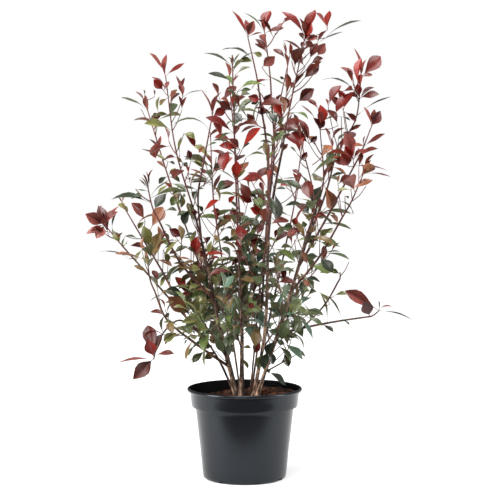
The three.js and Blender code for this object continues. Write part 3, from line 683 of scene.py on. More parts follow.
# ---------------------------------------------------------------- twigs
# Every limb ends in a spray of this year's shoots, and green sprays leave the sides of the stems
# lower down. A spray has one shoot of its own, side twigs that turn up to the light, and twiglets
# on those. Its full says how leafy it is, and young and old are its leaves at the tips and the foot.
SPRAYS = {
    "spray_right_tall": dict(
        on="stem_right_tall", tip=(0.122, -0.064, 0.910), reach=0.084, twigs=4, full=0.45,
        young="crimson crimson maroon rose", old="maroon crimson maroon"),
    "spray_twin_left": dict(
        on="bough_twin_left", tip=(0.007, -0.098, 0.907), reach=0.066, twigs=2, full=0.2,
        young="crimson rose maroon", old="maroon olive"),
    "spray_twin_right": dict(
        on="bough_twin_right", tip=(0.042, 0.044, 0.926), reach=0.066, twigs=2, full=0.3,
        young="crimson maroon rose", old="maroon crimson olive"),
    "spray_right_back": dict(
        on="stem_right_back", tip=(0.096, 0.122, 0.884), reach=0.080, twigs=3, full=0.5,
        young="maroon crimson rose", old="maroon crimson dark"),
    "spray_centre_front": dict(
        on="stem_centre_front", tip=(-0.024, -0.128, 0.870), reach=0.080, twigs=4, full=0.65, stout=1.15,
        young="maroon crimson dark", old="green dark crimson maroon"),
    "spray_centre_back": dict(
        on="stem_centre_back", tip=(-0.034, 0.172, 0.834), reach=0.084, twigs=4, full=0.45,
        young="crimson maroon dark", old="green dark maroon"),
    "spray_left_tall": dict(
        on="stem_left_tall", via=(-0.140, -0.045, 0.683), tip=(-0.160, -0.050, 0.832), reach=0.076,
        twigs=4, full=0.55,
        young="crimson rose scarlet", old="maroon olive dark"),
    "spray_left_far": dict(
        on="stem_left_far", tip=(-0.216, 0.146, 0.790), reach=0.078, twigs=4, full=0.35,
        young="maroon olive rose", old="olive dark maroon"),
    "spray_left_inner": dict(
        on="bough_left_inner", tip=(-0.063, -0.084, 0.760), reach=0.070, twigs=2, full=0.05,
        young="rose crimson", old="olive crimson"),
    "spray_left_up": dict(
        on="bough_left_up", tip=(-0.198, -0.086, 0.627), reach=0.078, twigs=3, full=0.45,
        young="crimson maroon rose", old="dark green maroon"),
    "spray_left_mid": dict(
        on="bough_left_mid", tip=(-0.260, 0.080, 0.569), reach=0.076, twigs=3, full=0.3,
        young="rose dark olive", old="olive copper"),
    "spray_left_long": dict(
        on="stem_left_long", tip=(-0.293, 0.034, 0.527), reach=0.060, twigs=2, full=0.2,
        young="maroon rose crimson", old="olive maroon"),
    "spray_left_low": dict(
        on="bough_left_low", tip=(-0.198, -0.058, 0.458), reach=0.070, twigs=3, full=0.4,
        young="copper maroon olive", old="olive copper bronze"),
    "spray_left_arch": dict(
        on="bough_left_arch", tip=(-0.188, -0.018, 0.249), reach=0.084, twigs=0, full=0,
        young="scarlet maroon crimson", old="copper maroon"),
    "spray_centre_left": dict(
        on="stem_centre_left", tip=(-0.074, 0.132, 0.722), reach=0.080, twigs=4, full=0.4,
        young="crimson maroon dark", old="dark maroon olive"),
    "spray_right_top": dict(
        on="bough_right_top", via=(0.230, 0.040, 0.742), tip=(0.243, 0.034, 0.834), reach=0.080, twigs=4,
        full=0.45,
        young="crimson scarlet rose", old="crimson maroon"),
    "spray_right_mid": dict(
        on="bough_right_mid", tip=(0.259, -0.034, 0.730), reach=0.072, twigs=3, full=0.3,
        young="scarlet crimson maroon", old="crimson rose"),
    "spray_right_inner": dict(
        on="stem_right_outer", tip=(0.156, 0.000, 0.725), reach=0.078, twigs=4, full=0.55,
        young="scarlet crimson crimson", old="copper olive green"),
    "spray_right_side": dict(
        on="bough_right_side", tip=(0.239, -0.112, 0.639), reach=0.076, twigs=3, full=0.3,
        young="crimson rose maroon", old="copper maroon dark"),
    "spray_right_low": dict(
        on="bough_right_low", tip=(0.277, -0.032, 0.353), reach=0.056, twigs=0, full=0,
        young="crimson maroon", old="maroon dark"),
    "spray_right_curl": dict(
        on="bough_right_curl", tip=(0.195, -0.052, 0.434), reach=0.064, twigs=0, full=0.2,
        young="green olive", old="dark green"),
    "spray_right_second": dict(
        on="stem_right_second", tip=(0.112, -0.100, 0.706), reach=0.078, twigs=4, full=0.5,
        young="crimson maroon scarlet", old="copper dark maroon dark"),
    "spray_front": dict(
        on="stem_front", tip=(0.048, -0.180, 0.690), reach=0.078, twigs=4, full=0.4,
        # Its darkest old leaves carry painted shade.
        young="crimson scarlet maroon", old="crimson deep maroon"),
    "spray_back": dict(
        on="stem_back", tip=(0.126, 0.190, 0.704), reach=0.080, twigs=4, full=0.4,
        young="crimson maroon scarlet", old="dark maroon olive"),
    "green_left_front": dict(
        on="stem_left_tall", share=0.22, tip=(-0.096, -0.116, 0.360), reach=0.088, twigs=5, full=0.7,
        young="olive green olive", old="olive green bronze dark"),
    "green_left_back": dict(
        on="stem_left_far", share=0.3, tip=(-0.106, 0.140, 0.400), reach=0.090, twigs=5, full=0.8,
        young="dark green bronze", old="dark green bluish"),
    "green_left": dict(
        on="stem_centre_left", share=0.55, tip=(-0.124, 0.036, 0.450), reach=0.080, twigs=5, full=0.9,
        young="olive bronze dark crimson", old="bronze dark olive"),
    "green_front_left": dict(
        on="stem_centre_front", share=0.36, tip=(-0.034, -0.148, 0.372), reach=0.086, twigs=5, full=0.75,
        young="bluish green bronze", old="dark green dark bluish"),
    "green_front_right": dict(
        on="stem_right_second", share=0.26, tip=(0.098, -0.136, 0.372), reach=0.086, twigs=5, full=0.5,
        young="bluish dark green", old="dark bluish dark"),
    "green_right": dict(
        on="stem_right_outer", share=0.5, tip=(0.160, 0.066, 0.440), reach=0.084, twigs=5, full=0.3,
        young="green dark copper", old="bluish dark bluish"),
    "green_back_right": dict(
        on="stem_back", share=0.3, tip=(0.124, 0.112, 0.380), reach=0.084, twigs=5, full=0.65,
        young="dark green", old="bluish dark green"),
    "green_back_left": dict(
        on="stem_centre_back", share=0.3, tip=(-0.020, 0.168, 0.380), reach=0.088, twigs=5, full=1,
        young="dark green", old="bluish dark green"),
    "green_centre": dict(
        on="stem_right_back", share=0.42, tip=(0.012, 0.006, 0.510), reach=0.084, twigs=5, full=0.8,
        young="dark green bronze", old="dark green bluish dark"),
    "green_low_right": dict(
        on="stem_right_outer", share=0.13, tip=(0.104, -0.044, 0.262), reach=0.074, twigs=4, full=0.1,
        young="dark green", old="dark dark green"),
}
# The front view is drawn on a sheet of small squares: how far its corner lies to the left and up,
# and the size of a square.
SHEET = dict(left=-0.5061, top=0.9937, step=0.002069)
# The whorls that show at the front, by the limb or spray that bears them: each one's place on the
# sheet, across and down, then its leaves, with the kind, the place of the tip, the width in squares
# and, where it isn't the usual one, the bow.
WHORLS = {
    "spray_left_arch": [
        (154, 359, "maroon 147 326 13, maroon 161 335 11, scarlet 147 340 12, rose 116 364 4 .15, "
                   "maroon 132 381 16 .4"),
        (155, 358, "rose 174 355 5"),
    ],
    "bough_left_low": [
        (180, 332, "olive 163 342 9 .3"), (163, 320, "dark 169 313 4"),
        (204, 352, "dark 192 364 8 .4, dark 186 368 2"), (196, 345, "dark 188 357 3"),
        (189, 338, "dark 184 345 2"), (211, 346, "dark 201 349 7"),
    ],
    "stem_left_long": [
        (190, 316, "copper 167 297 15 .4, green 178 302 9"), (165, 295, "dark 148 304 2 1"),
        (208, 336, "bronze 220 344 9, green 198 341 6"), (198, 330, "dark 188 334 3, dark 184 330 2"),
    ],
    "spray_left_long": [
        (104, 225, "rose 85 214 13, rose 96 239 12, maroon 90 232 5, rose 118 212 7, rose 119 206 3"),
        (103, 221, "rose 102 212 2"), (112, 229, "olive 119 242 8, dark 116 214 3"),
        (129, 259, "dark 99 252 2"),
    ],
    "spray_left_mid": [
        (138, 239, "dark 125 236 3"), (125, 236, "dark 122 248 3"),
        (122, 204, "maroon 118 197 2, rose 125 194 2, olive 128 212 3"),
        (145, 221, "rose 131 203 9, olive 138 229 5"), (150, 230, "copper 163 207 13"),
    ],
    "bough_left_mid": [
        (151, 248, "maroon 130 246 6, olive 143 226 11"), (154, 261, "bronze 161 232 11, copper 172 267 5"),
        (143, 248, "olive 135 263 5, olive 147 265 5"), (158, 245, "maroon 166 231 7, copper 158 226 6"),
        (163, 250, "dark 176 243 4, olive 168 262 6"), (168, 260, "copper 191 260 2 .6"),
        (170, 272, "dark 155 281 5, olive 160 287 5"), (186, 296, "deep 164 292 10, scarlet 175 277 9"),
    ],
    "spray_left_low": [
        (151, 274, "bronze 133 266 5"),
    ],
    "bough_left_up": [
        (182, 238, "crimson 169 229 9, deep 195 234 3, dark 192 238 2, olive 165 256 5"),
        (191, 247, "dark 175 252 5 .9"), (197, 259, "scarlet 198 236 10"), (165, 211, "dark 177 211 4 1.2"),
        (203, 284, "bronze 199 271 10, olive 189 290 5"), (197, 272, "bronze 175 267 5, deep 187 275 5"),
        (188, 300, "green 204 292 9"), (229, 256, "scarlet 205 255 6 .7"),
    ],
    "spray_left_up": [
        (147, 190, "maroon 139 179 2, rose 141 177 2, maroon 143 174 2, rose 146 171 2, maroon 153 169 2"),
        (148, 191, "dark 137 190 2"), (151, 204, "deep 111 200 6 .9"), (151, 197, "dark 170 180 2"),
    ],
    "spray_left_far": [
        (169, 191, "deep 155 208 9"), (180, 191, "green 171 206 9, olive 181 208 6, olive 166 189 3"),
        (170, 175, "deep 159 184 5 1.2, dark 180 182 5, olive 176 168 3"),
        (172, 183, "olive 158 194 4, dark 186 192 5"), (165, 170, "copper 157 161 4"),
        (168, 162, "olive 155 155 4, maroon 141 149 3, deep 175 164 3"),
        (160, 150, "rose 161 136 4, maroon 149 139 3, rose 156 143 2"), (159, 113, "dark 152 121 5"),
        (148, 112, "dark 121 98 2 .8"), (145, 96, "dark 144 90 2"), (155, 97, "maroon 154 90 2"),
    ],
    "spray_left_tall": [
        (164, 76, "rose 150 54 3, rose 167 55 5, crimson 185 64 5, maroon 158 62 2"),
        (164, 91, "scarlet 154 80 9, crimson 170 82 4"), (168, 99, "bronze 178 90 4, bronze 160 106 4"),
        (183, 98, "rose 176 76 4, crimson 185 78 5, rose 181 84 4, deep 208 93 2 1.2"),
        (182, 111, "crimson 179 96 4, rose 187 97 3"), (184, 134, "crimson 195 147 6, olive 195 139 5 1.2"),
        (180, 155, "olive 182 137 3"), (183, 163, "bronze 177 158 4, deep 188 166 5"),
        (191, 161, "maroon 188 150 6, olive 202 164 2, olive 203 168 5"), (173, 100, "maroon 174 92 2"),
        (197, 190, "deep 193 199 8, deep 186 188 3, dark 204 189 2"),
        (193, 206, "deep 184 225 8, maroon 194 217 5, maroon 191 204 3"), (190, 212, "dark 177 216 4 1"),
    ],
    "spray_left_inner": [
        (213, 117, "rose 200 89 3, crimson 226 108 9, maroon 222 92 4, crimson 218 98 3"),
        (209, 130, "dark 172 127 2 2"), (210, 139, "maroon 222 129 4"),
        (204, 146, "dark 217 143 2, copper 199 153 4"),
    ],
    "spray_centre_left": [
        (211, 183, "maroon 186 174 4, rose 190 169 2, copper 186 180 3, dark 190 183 3, dark 204 169 2"),
        (212, 175, "rose 233 158 10, maroon 204 188 2 1, dark 209 164 2"), (211, 166, "crimson 205 153 5"),
        (215, 194, "maroon 221 174 5, maroon 235 183 8, olive 236 196 4"),
        (203, 213, "scarlet 219 200 6, dark 199 206 4"), (226, 222, "green 198 217 6, dark 218 218 4"),
        (225, 213, "dark 211 212 2 1"),
    ],
    "spray_centre_front": [
        (233, 68, "deep 203 54 4 .9, maroon 233 57 3, dark 240 54 2"),
        (234, 84, "deep 208 74 5, rose 239 76 2"),
        (236, 64, "deep 253 53 2, olive 252 62 6, dark 228 58 2"), (236, 75, "olive 251 68 4 .7"),
        (238, 92, "green 265 87 5 1.6, dark 251 90 4, dark 227 91 2"),
        (236, 112, "crimson 236 92 4, maroon 219 102 9, copper 222 109 3, deep 242 122 7"),
        (236, 122, "dark 226 128 2 1.8"), (236, 134, "dark 219 142 3 1.5"),
        (240, 150, "scarlet 219 146 7, rose 229 139 7, maroon 222 148 4"),
        (242, 150, "scarlet 261 128 8 .8, maroon 257 132 2, dark 250 143 3"),
        (236, 156, "dark 222 156 2 1.4"),
        (236, 180, "scarlet 237 161 10, copper 249 162 7, olive 246 170 4, dark 219 170 2"),
        (239, 181, "maroon 250 198 10, crimson 262 177 8"), (246, 158, "dark 265 155 3 1.2"),
        (241, 213, "maroon 229 214 5, dark 228 200 4"),
        (240, 230, "dark 254 219 4 1, bronze 231 236 9, copper 252 223 5"),
        (237, 194, "crimson 252 202 8, scarlet 229 203 5"),
    ],
    "spray_twin_left": [
        (248, 38, "crimson 232 12 5, rose 254 22 9, rose 250 26 3, maroon 262 34 2"),
        (253, 61, "deep 222 51 3 1.2"), (252, 53, "olive 262 57 5 .9"),
        (262, 104, "scarlet 248 97 8, olive 239 108 4 .9, deep 251 104 5"),
        (262, 116, "olive 240 112 3 1.2, crimson 262 107 7"), (255, 125, "rose 247 114 8"),
        (266, 112, "deep 277 123 6, dark 280 115 2"), (266, 129, "maroon 241 133 2 1.3"),
    ],
    "spray_twin_right": [
        (264, 34, "crimson 270 12 9, maroon 284 29 5, dark 244 14 2, rose 262 20 3"),
        (267, 53, "maroon 255 40 6"), (262, 68, "rose 275 57 11"),
        (264, 104, "crimson 272 94 9, rose 260 93 2"),
    ],
    "spray_right_back": [
        (286, 60, "maroon 273 50 5, rose 283 45 3, maroon 283 41 2"), (293, 93, "dark 268 77 2"),
        (286, 80, "deep 280 77 3"), (293, 113, "green 308 120 4 1.2, dark 296 121 4"),
        (283, 119, "scarlet 272 103 9, copper 281 96 8"), (289, 111, "rose 281 97 8, rose 292 98 4"),
        (283, 152, "maroon 282 142 6, copper 288 144 4"),
        (278, 148, "dark 260 142 2 1.2, dark 257 151 3 1.4"),
        (276, 175, "green 255 178 5 .8, dark 259 170 5 1.2, copper 274 165 4"),
        (279, 180, "dark 302 190 8 .7, dark 302 179 2"), (274, 190, "dark 286 189 4 .9, deep 277 222 9 .4"),
        (267, 197, "dark 253 191 6 .9, deep 253 206 9, dark 262 203 2"),
        (267, 215, "scarlet 250 208 10, maroon 284 233 2"),
    ],
    "spray_right_tall": [
        (305, 38, "crimson 281 13 7 .9, crimson 315 11 9, scarlet 311 23 10, maroon 299 19 3"),
        (306, 42, "maroon 314 48 7, rose 318 38 6, maroon 301 49 5, crimson 310 32 6, maroon 299 34 4"),
        (327, 31, "crimson 329 12 6, rose 315 14 3"), (316, 45, "deep 343 33 2, maroon 326 32 5"),
        (325, 39, "deep 361 22 2 .8"), (317, 57, "rose 325 44 10"), (309, 61, "rose 317 44 9"),
        (305, 68, "crimson 291 53 9"), (306, 57, "maroon 283 41 3 .7"), (310, 65, "maroon 323 59 6"),
        (302, 81, "maroon 319 65 11"), (297, 103, "maroon 314 89 12"),
        (290, 131, "crimson 291 118 5, crimson 296 117 4"),
    ],
    "spray_right_top": [
        (361, 77, "rose 353 48 4, crimson 380 57 13, rose 372 75 4, rose 366 60 4"),
        (354, 92, "deep 321 81 3 1.4"), (343, 111, "crimson 330 97 7, scarlet 338 90 9, crimson 352 93 8"),
        (344, 112, "maroon 356 122 6"), (328, 107, "crimson 341 86 9, rose 325 99 3"),
        (361, 100, "scarlet 357 84 8, maroon 379 95 7, crimson 349 93 5"), (360, 113, "deep 391 97 2 .5"),
        (349, 134, "maroon 361 125 4, dark 338 140 3"), (341, 117, "dark 325 120 2 .8, dark 350 121 2 .6"),
    ],
    "spray_right_mid": [
        (371, 126, "crimson 380 111 11, rose 363 107 4"), (362, 146, "maroon 385 134 6, rose 365 136 2"),
        (353, 160, "maroon 378 149 4, scarlet 356 142 6, rose 362 149 4, rose 345 133 12, "
                   "scarlet 345 146 9"),
        (349, 167, "scarlet 341 152 12, maroon 388 171 3 .6, maroon 333 160 7"),
    ],
    "spray_right_side": [
        (364, 174, "rose 371 160 4, maroon 391 177 2 .5, rose 361 163 2"),
        (351, 190, "copper 373 180 7, olive 349 178 5, olive 337 191 3"),
        (338, 184, "rose 349 175 7, copper 340 175 3"), (345, 196, "dark 349 198 2"),
        (338, 201, "dark 353 215 2 1.4"),
    ],
    "spray_right_inner": [
        (320, 130, "scarlet 320 105 11, crimson 313 118 5, maroon 325 121 5"),
        (318, 109, "crimson 306 100 4, rose 309 99 4"), (316, 121, "rose 300 105 3"),
        (338, 126, "maroon 327 110 7 .7"),
        (309, 144, "crimson 291 133 9, rose 298 119 7, crimson 302 121 4, maroon 317 136 6"),
        (332, 150, "maroon 322 146 3, rose 331 138 2, rose 325 129 2"),
        (328, 178, "bronze 327 157 8, dark 344 173 4, maroon 333 163 4"),
        (326, 183, "copper 332 210 11, deep 312 203 10, bronze 314 177 4"),
        (318, 214, "dark 352 214 5 .9, olive 306 219 6, olive 323 219 5"),
        (318, 225, "dark 352 230 3 .8, bronze 308 232 7"),
        (320, 242, "olive 328 229 7, dark 310 236 6, green 332 246 6"), (328, 214, "copper 338 222 5"),
        (316, 244, "dark 306 238 6, olive 308 247 6"),
    ],
    "spray_right_second": [
        (300, 162, "maroon 307 152 6"), (302, 176, "maroon 292 170 4, dark 307 184 3 1"),
        (297, 154, "dark 290 147 2"), (306, 206, "deep 285 206 4, deep 308 214 6"),
        (305, 228, "rose 287 236 7, green 303 221 6"), (293, 226, "dark 283 228 7 1, scarlet 297 217 6"),
    ],
    "bough_right_side": [
        (338, 229, "rose 340 224 2"), (320, 236, "dark 337 247 3 1"), (325, 244, "dark 341 247 2 .6"),
        (322, 255, "dark 350 260 3 1, dark 341 252 2 .8"), (321, 258, "deep 333 273 9, dark 306 256 7"),
        (308, 266, "green 331 272 9 .5, copper 302 252 6"), (326, 234, "olive 333 228 5"),
        (303, 279, "deep 321 283 5 .8, copper 310 287 6, dark 314 290 6"),
    ],
    "spray_right_curl": [
        (340, 274, "green 331 270 5, olive 320 273 5 1"),
    ],
    "bough_right_curl": [
        (334, 297, "olive 348 295 4 1.2"), (330, 305, "olive 320 293 3, olive 325 295 2"),
    ],
    "spray_right_low": [
        (380, 311, "rose 345 291 13 .6, rose 393 308 2 1.8, maroon 379 301 2, deep 414 321 3 .5"),
        (366, 318, "maroon 365 301 12"),
    ],
    "bough_right_low": [
        (344, 320, "dark 327 295 3, dark 350 326 2"), (322, 323, "deep 334 333 5"),
        (328, 322, "olive 320 292 3"),
    ],
    "green_low_right": [
        (265, 375, "deep 286 387 8 .8"), (263, 372, "dark 271 371 5"),
    ],
    "stem_right_second": [
        (269, 350, "deep 264 371 9, deep 273 366 7"), (276, 340, "deep 267 357 8, dark 285 345 6"),
        (283, 344, "bluish 303 361 9"), (284, 353, "dark 289 368 8 .8"), (287, 320, "dark 303 338 9 .5"),
        (267, 331, "dark 280 334 7"),
    ],
    "stem_right_tall": [
        (262, 354, "olive 258 371 10"), (261, 338, "scarlet 256 354 8"),
    ],
    "stem_centre_front": [
        (242, 331, "bluish 259 329 9"), (242, 349, "olive 251 349 3 .8"), (243, 359, "olive 248 370 4"),
        (246, 300, "bluish 262 327 10 .5"),
    ],
    "stem_left_tall": [
        (216, 352, "olive 204 360 8 .3"), (228, 341, "olive 233 354 5"), (222, 330, "dark 216 341 8"),
    ],
    "spray_front": [
        (268, 194, "deep 275 217 9 .6"),
    ],
}
# The openings that show sky through the crown, as ovals on the sheet: the middle, across and down,
# and the half width and half height.
OPENINGS = [
    (195, 108, 13, 13), (224, 115, 7, 4), (207, 127, 7, 7), (211, 149, 8, 6), (148, 171, 11, 10),
    (107, 190, 9, 8), (205, 193, 7, 11), (226, 200, 7, 9), (173, 216, 10, 10), (192, 185, 7, 4),
    (120, 220, 10, 9), (187, 144, 7, 7), (224, 176, 9, 4), (247, 118, 7, 8), (254, 139, 7, 9),
    (258, 160, 9, 7), (284, 195, 9, 7), (287, 213, 8, 8), (212, 229, 9, 8), (187, 239, 7, 6),
    (265, 177, 4, 6), (279, 67, 8, 8), (264, 74, 6, 10), (248, 74, 8, 6), (276, 86, 5, 9), (295, 70, 5, 9),
    (321, 92, 8, 10), (297, 109, 7, 5), (268, 126, 5, 8), (308, 126, 5, 5), (331, 124, 6, 8),
    (347, 120, 6, 8), (354, 106, 5, 8), (363, 121, 6, 11), (380, 127, 9, 5), (309, 150, 5, 8),
    (318, 150, 4, 12), (290, 152, 7, 4), (289, 167, 9, 8), (306, 166, 7, 9), (308, 178, 7, 6),
    (357, 174, 6, 6), (297, 195, 9, 8), (368, 209, 13, 6), (184, 255, 7, 9), (126, 284, 13, 7),
    (142, 305, 9, 7), (180, 318, 9, 6), (354, 255, 9, 7), (335, 263, 10, 7), (329, 283, 11, 12),
    (315, 306, 6, 7), (271, 229, 7, 9), (340, 167, 7, 5), (320, 137, 6, 7), (333, 105, 6, 6),
    (246, 358, 6, 15), (140, 205, 9, 6), (205, 142, 8, 7), (217, 368, 10, 8), (124, 111, 14, 9),
    (107, 195, 9, 6), (99, 248, 10, 8), (133, 98, 6, 5), (136, 136, 8, 6), (129, 181, 8, 6), (230, 45, 4, 8),
    (273, 210, 4, 8), (167, 350, 6, 5), (156, 311, 6, 4),
]
STALK = dict(nearly_on=0.006, run_up=1.6, depth=0.9, bulge=0.08)
GOLDEN_TURN = 2.39996
TWIG = dict(between=(0.15, 0.85), lean=(34, 58), length=(0.42, 0.62), shorten=(1.15, 0.75), lift=0.2)
TWIGLET = dict(between=(0.3, 0.86), lean=(24, 46), length=(0.4, 0.62), lift=0.25, on=dict(spray=2, twig=1))
TWIG_RADII = dict(spray=(0.0019, 0.0011), twig=(0.0014, 0.0009), twiglet=(0.001, 0.0007))
TWIG_STEP = 0.003
OPEN_BY_TWIG = 0.75
# Short shoots leave the limbs too, except those that are bare up to their spray.
SIDE_SHOOT = dict(between=(0.4, 0.97), lean=(30, 60), length=(0.03, 0.085), lift=0.25, spacing=0.042)
SHOOT_LEAVES = dict(young="crimson dark maroon bronze", old="dark green dark bronze", full=0.62)
BARE_LIMBS = {"bough_right_low", "bough_left_arch", "bough_left_up", "bough_left_mid", "bough_right_mid",
              "bough_right_side", "bough_right_curl", "stem_left_long"}
SHOOT_SEED = 100
WHORL_SEED = 500
# Four stems show through the crown. Grown leaves in front of them keep some squares away.
SHOWN_STEMS = ["stem_left_tall", "stem_centre_front", "stem_right_tall", "stem_right_outer"]
STEM_CLEAR = 3
UP = np.array([0.0, 0.0, 1.0])


def seeded(seed):
    """The Park-Miller generator: the same numbers each time, between 0 and 1."""
    state = seed * 7919 % 2147483647

    def draw():
        nonlocal state
        state = state * 16807 % 2147483647
        return state / 2147483647
    return draw


def between(ends, share):
    return ends[0] + (ends[1] - ends[0]) * share


def sideways(direction, turn):
    """A unit vector at right angles to a direction, turned round it."""
    first = unit(np.cross(direction, (0, 1, 0)))
    return first * math.cos(turn) + np.cross(direction, first) * math.sin(turn)


def side_shoot(parent, share, lean, side, length, lift):
    """A shoot that leaves another sideways and bends up to the light on its way to its tip."""
    start = point_at(parent, share)
    forward = heading_at(parent, share)
    away = forward * math.cos(lean) + side * math.sin(lean)
    end = start + (away + UP * lift) * length
    return smooth_path([start, start + away * length / 2, end], TWIG_STEP)


def grow_twigs(spray, draw):
    """The twigs of a spray by rank: its own shoot, the side twigs, and the twiglets on them."""
    carrier = limbs[spray["on"]]
    root = point_at(carrier, spray.get("share", 1))
    tip = np.array(spray["tip"])
    forward = heading_at(carrier, 1) if "share" not in spray else unit(tip - root)
    bend = np.array(spray["via"]) if "via" in spray else root + forward * np.linalg.norm(tip - root) / 3
    shoot = smooth_path([root, bend, tip])
    twigs = [("spray", shoot)]
    first_turn = 2 * math.pi * draw()
    kept = spray["full"] ** OPEN_BY_TWIG
    for i in range(spray["twigs"]):
        share = between(TWIG["between"], (i + draw()) / spray["twigs"])
        lean = math.radians(between(TWIG["lean"], draw()))
        length = spray["reach"] * between(TWIG["length"], draw()) * between(TWIG["shorten"], share)
        side = sideways(heading_at(shoot, share), first_turn + i * GOLDEN_TURN)
        if draw() < kept:
            twigs.append(("twig", side_shoot(shoot, share, lean, side, length, TWIG["lift"])))
    for rank, parent in list(twigs):
        for i in range(TWIGLET["on"][rank]):
            share = between(TWIGLET["between"], draw())
            lean = math.radians(between(TWIGLET["lean"], draw()))
            length = spray["reach"] * between(TWIGLET["length"], draw())
            side = sideways(heading_at(parent, share), 2 * math.pi * draw())
            if draw() < kept:
                twigs.append(("twiglet", side_shoot(parent, share, lean, side, length, TWIGLET["lift"])))
    return twigs


def grow_side_shoots(path, draw):
    """Short leafy shoots that leave a limb all round, from some way up it to near its tip."""
    count = round(length_of(path) * (1 - SIDE_SHOOT["between"][0]) / SIDE_SHOOT["spacing"])
    first_turn = 2 * math.pi * draw()
    shoots = []
    for i in range(count):
        share = between(SIDE_SHOOT["between"], (i + draw()) / count)
        lean = math.radians(between(SIDE_SHOOT["lean"], draw()))
        side = sideways(heading_at(path, share), first_turn + i * GOLDEN_TURN)
        length = between(SIDE_SHOOT["length"], draw())
        shoots.append(("twiglet", side_shoot(path, share, lean, side, length, SIDE_SHOOT["lift"])))
    return shoots


def on_sheet(across, down, depth):
    """A place of the front view's sheet, as the eye sees it, carried back to that depth."""
    flat = Vector((SHEET["left"] + across * SHEET["step"], 0, SHEET["top"] - down * SHEET["step"]))
    return np.array(VIEW_FROM + (flat - VIEW_FROM) * ((depth - VIEW_FROM.y) / -VIEW_FROM.y))


def off_sheet(place):
    """Where a place is seen on the sheet, as squares across and down."""
    flat = VIEW_FROM + (Vector(place) - VIEW_FROM) * (-VIEW_FROM.y / (place[1] - VIEW_FROM.y))
    return (flat.x - SHEET["left"]) / SHEET["step"], (SHEET["top"] - flat.z) / SHEET["step"]


def in_opening(*places):
    """Whether any of these places is seen in one of the crown's openings."""
    for place in places:
        across, down = off_sheet(place)
        for middle, level, wide, high in OPENINGS:
            if ((across - middle) / wide) ** 2 + ((down - level) / high) ** 2 < 1:
                return True
    return False


def hides_stem(*places):
    """Whether any of these places is seen close to one of the stems that show, and in front of it."""
    for place in places:
        across, down = off_sheet(place)
        for name, seen in shown_stems.items():
            gaps = np.hypot(seen[:, 0] - across, seen[:, 1] - down)
            nearest = int(np.argmin(gaps))
            if gaps[nearest] < STEM_CLEAR and place[1] < limbs[name][nearest][1]:
                return True
    return False


def is_closing(rank, path):
    """Whether a side twig would end in an opening. Such twigs are left out, with their leaves."""
    return rank != "spray" and in_opening(path[-1])


def stalk_to(path, across, down, draw):
    """The fine shoot that bears a whorl, from a limb to the whorl's place on the sheet."""
    seen = [np.linalg.norm(on_sheet(across, down, point[1]) - point) for point in path]
    nearest = int(np.argmin(seen))
    if seen[nearest] < STALK["nearly_on"]:
        return path[nearest - 2:nearest + 1] if nearest > 1 else path[:2]
    back = 0 if nearest == len(path) - 1 else seen[nearest] * STALK["run_up"]
    start = path[max(0, nearest - round(back / PATH_STEP))]
    reach = np.linalg.norm(on_sheet(across, down, start[1]) - start)
    end = on_sheet(across, down, start[1] + reach * STALK["depth"] * (draw() - 0.5))
    middle = (start + end) / 2 - UP * reach * STALK["bulge"]
    return smooth_path([start, middle, end], TWIG_STEP)


shown_stems = {name: np.array([off_sheet(place) for place in limbs[name]]) for name in SHOWN_STEMS}
grown = {}
for i, limb_name in enumerate(limbs):
    if limb_name not in BARE_LIMBS:
        draw = seeded(SHOOT_SEED + i)
        grown["shoots_on_" + limb_name] = dict(twigs=grow_side_shoots(limbs[limb_name], draw), draw=draw)
for i, (spray_name, spray) in enumerate(SPRAYS.items()):
    draw = seeded(i + 1)
    grown[spray_name] = dict(twigs=grow_twigs(spray, draw), draw=draw)
twig_limbs = []
for name, twig_set in grown.items():
    for rank, path in twig_set["twigs"]:
        stout = SPRAYS[name].get("stout", 1) if rank == "spray" else 1
        if not is_closing(rank, path):
            twig_limbs.append((path, stout * np.linspace(*TWIG_RADII[rank], len(path))))
whorls = []
for i, (carrier, rows) in enumerate(WHORLS.items()):
    draw = seeded(WHORL_SEED + i)
    path = limbs[carrier] if carrier in limbs else grown[carrier]["twigs"][0][1]
    for across, down, borne in rows:
        stalk = stalk_to(path, across, down, draw)
        whorls.append(dict(on=carrier, root=stalk[-1], borne=borne, draw=draw))
        twig_limbs.append((stalk, np.linspace(*TWIG_RADII["twiglet"], len(stalk))))
twig_bark = bark_finish("twig_bark", 0.3, 0.62, (64, 42, 34), (86, 47, 43), 0.2)
twigs = wood_piece("twigs", twig_limbs, twig_bark, ring=0.006, sides=7, relief=0.00025)
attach(twigs, "root")
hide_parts(*SPRAYS)

# ---------------------------------------------------------------- leaves
# Leathery oval leaves with a short stalk and a drawn-out point, folded along the rib and bowed
# over. Young ones at the tips are small, upright and red. Old ones are green, spread and hang.

# The tints of each kind's face and of its paler back.
KINDS = {
    "red_foliage": dict(
        scarlet=((113, 25, 15), (123, 42, 32)),
        crimson=((84, 19, 14), (105, 41, 33)),
        maroon=((66, 23, 16), (95, 48, 36)),
        rose=((103, 50, 44), (126, 73, 63)),
        copper=((112, 68, 46), (136, 92, 68)),
    ),
    "green_foliage": dict(
        bronze=((89, 71, 41), (112, 93, 63)),
        olive=((90, 90, 48), (110, 108, 70)),
        green=((80, 93, 48), (112, 117, 80)),
        bluish=((68, 87, 71), (100, 113, 94)),
        dark=((56, 64, 39), (99, 99, 72)),
        # The darkest kind is the dark green darkened by two fifths: partly a deeper green, partly painted
        # shade for leaves that sit in shade, and it dims the sheen on others.
        deep=((33, 39, 25), (56, 60, 41)),
    ),
}
# A leaf's length and width vary between two shares. Its outline swells to a shoulder and is drawn
# out to a point, and it has stations along the blade and lanes across it.
LEAF = dict(sizes=(0.74, 1.14), width=(0.35, 0.48), stalk=0.12, thick=0.0004, least=0.0007, curl=0.1,
            shoulder=1.3, point=1.15, ripple=0.045, ripples=9)
STATIONS = np.array([0, 0.1, 0.17, 0.3, 0.45, 0.6, 0.75, 0.89, 1])
LANES = np.array([-1, -0.5, 0, 0.5, 1])
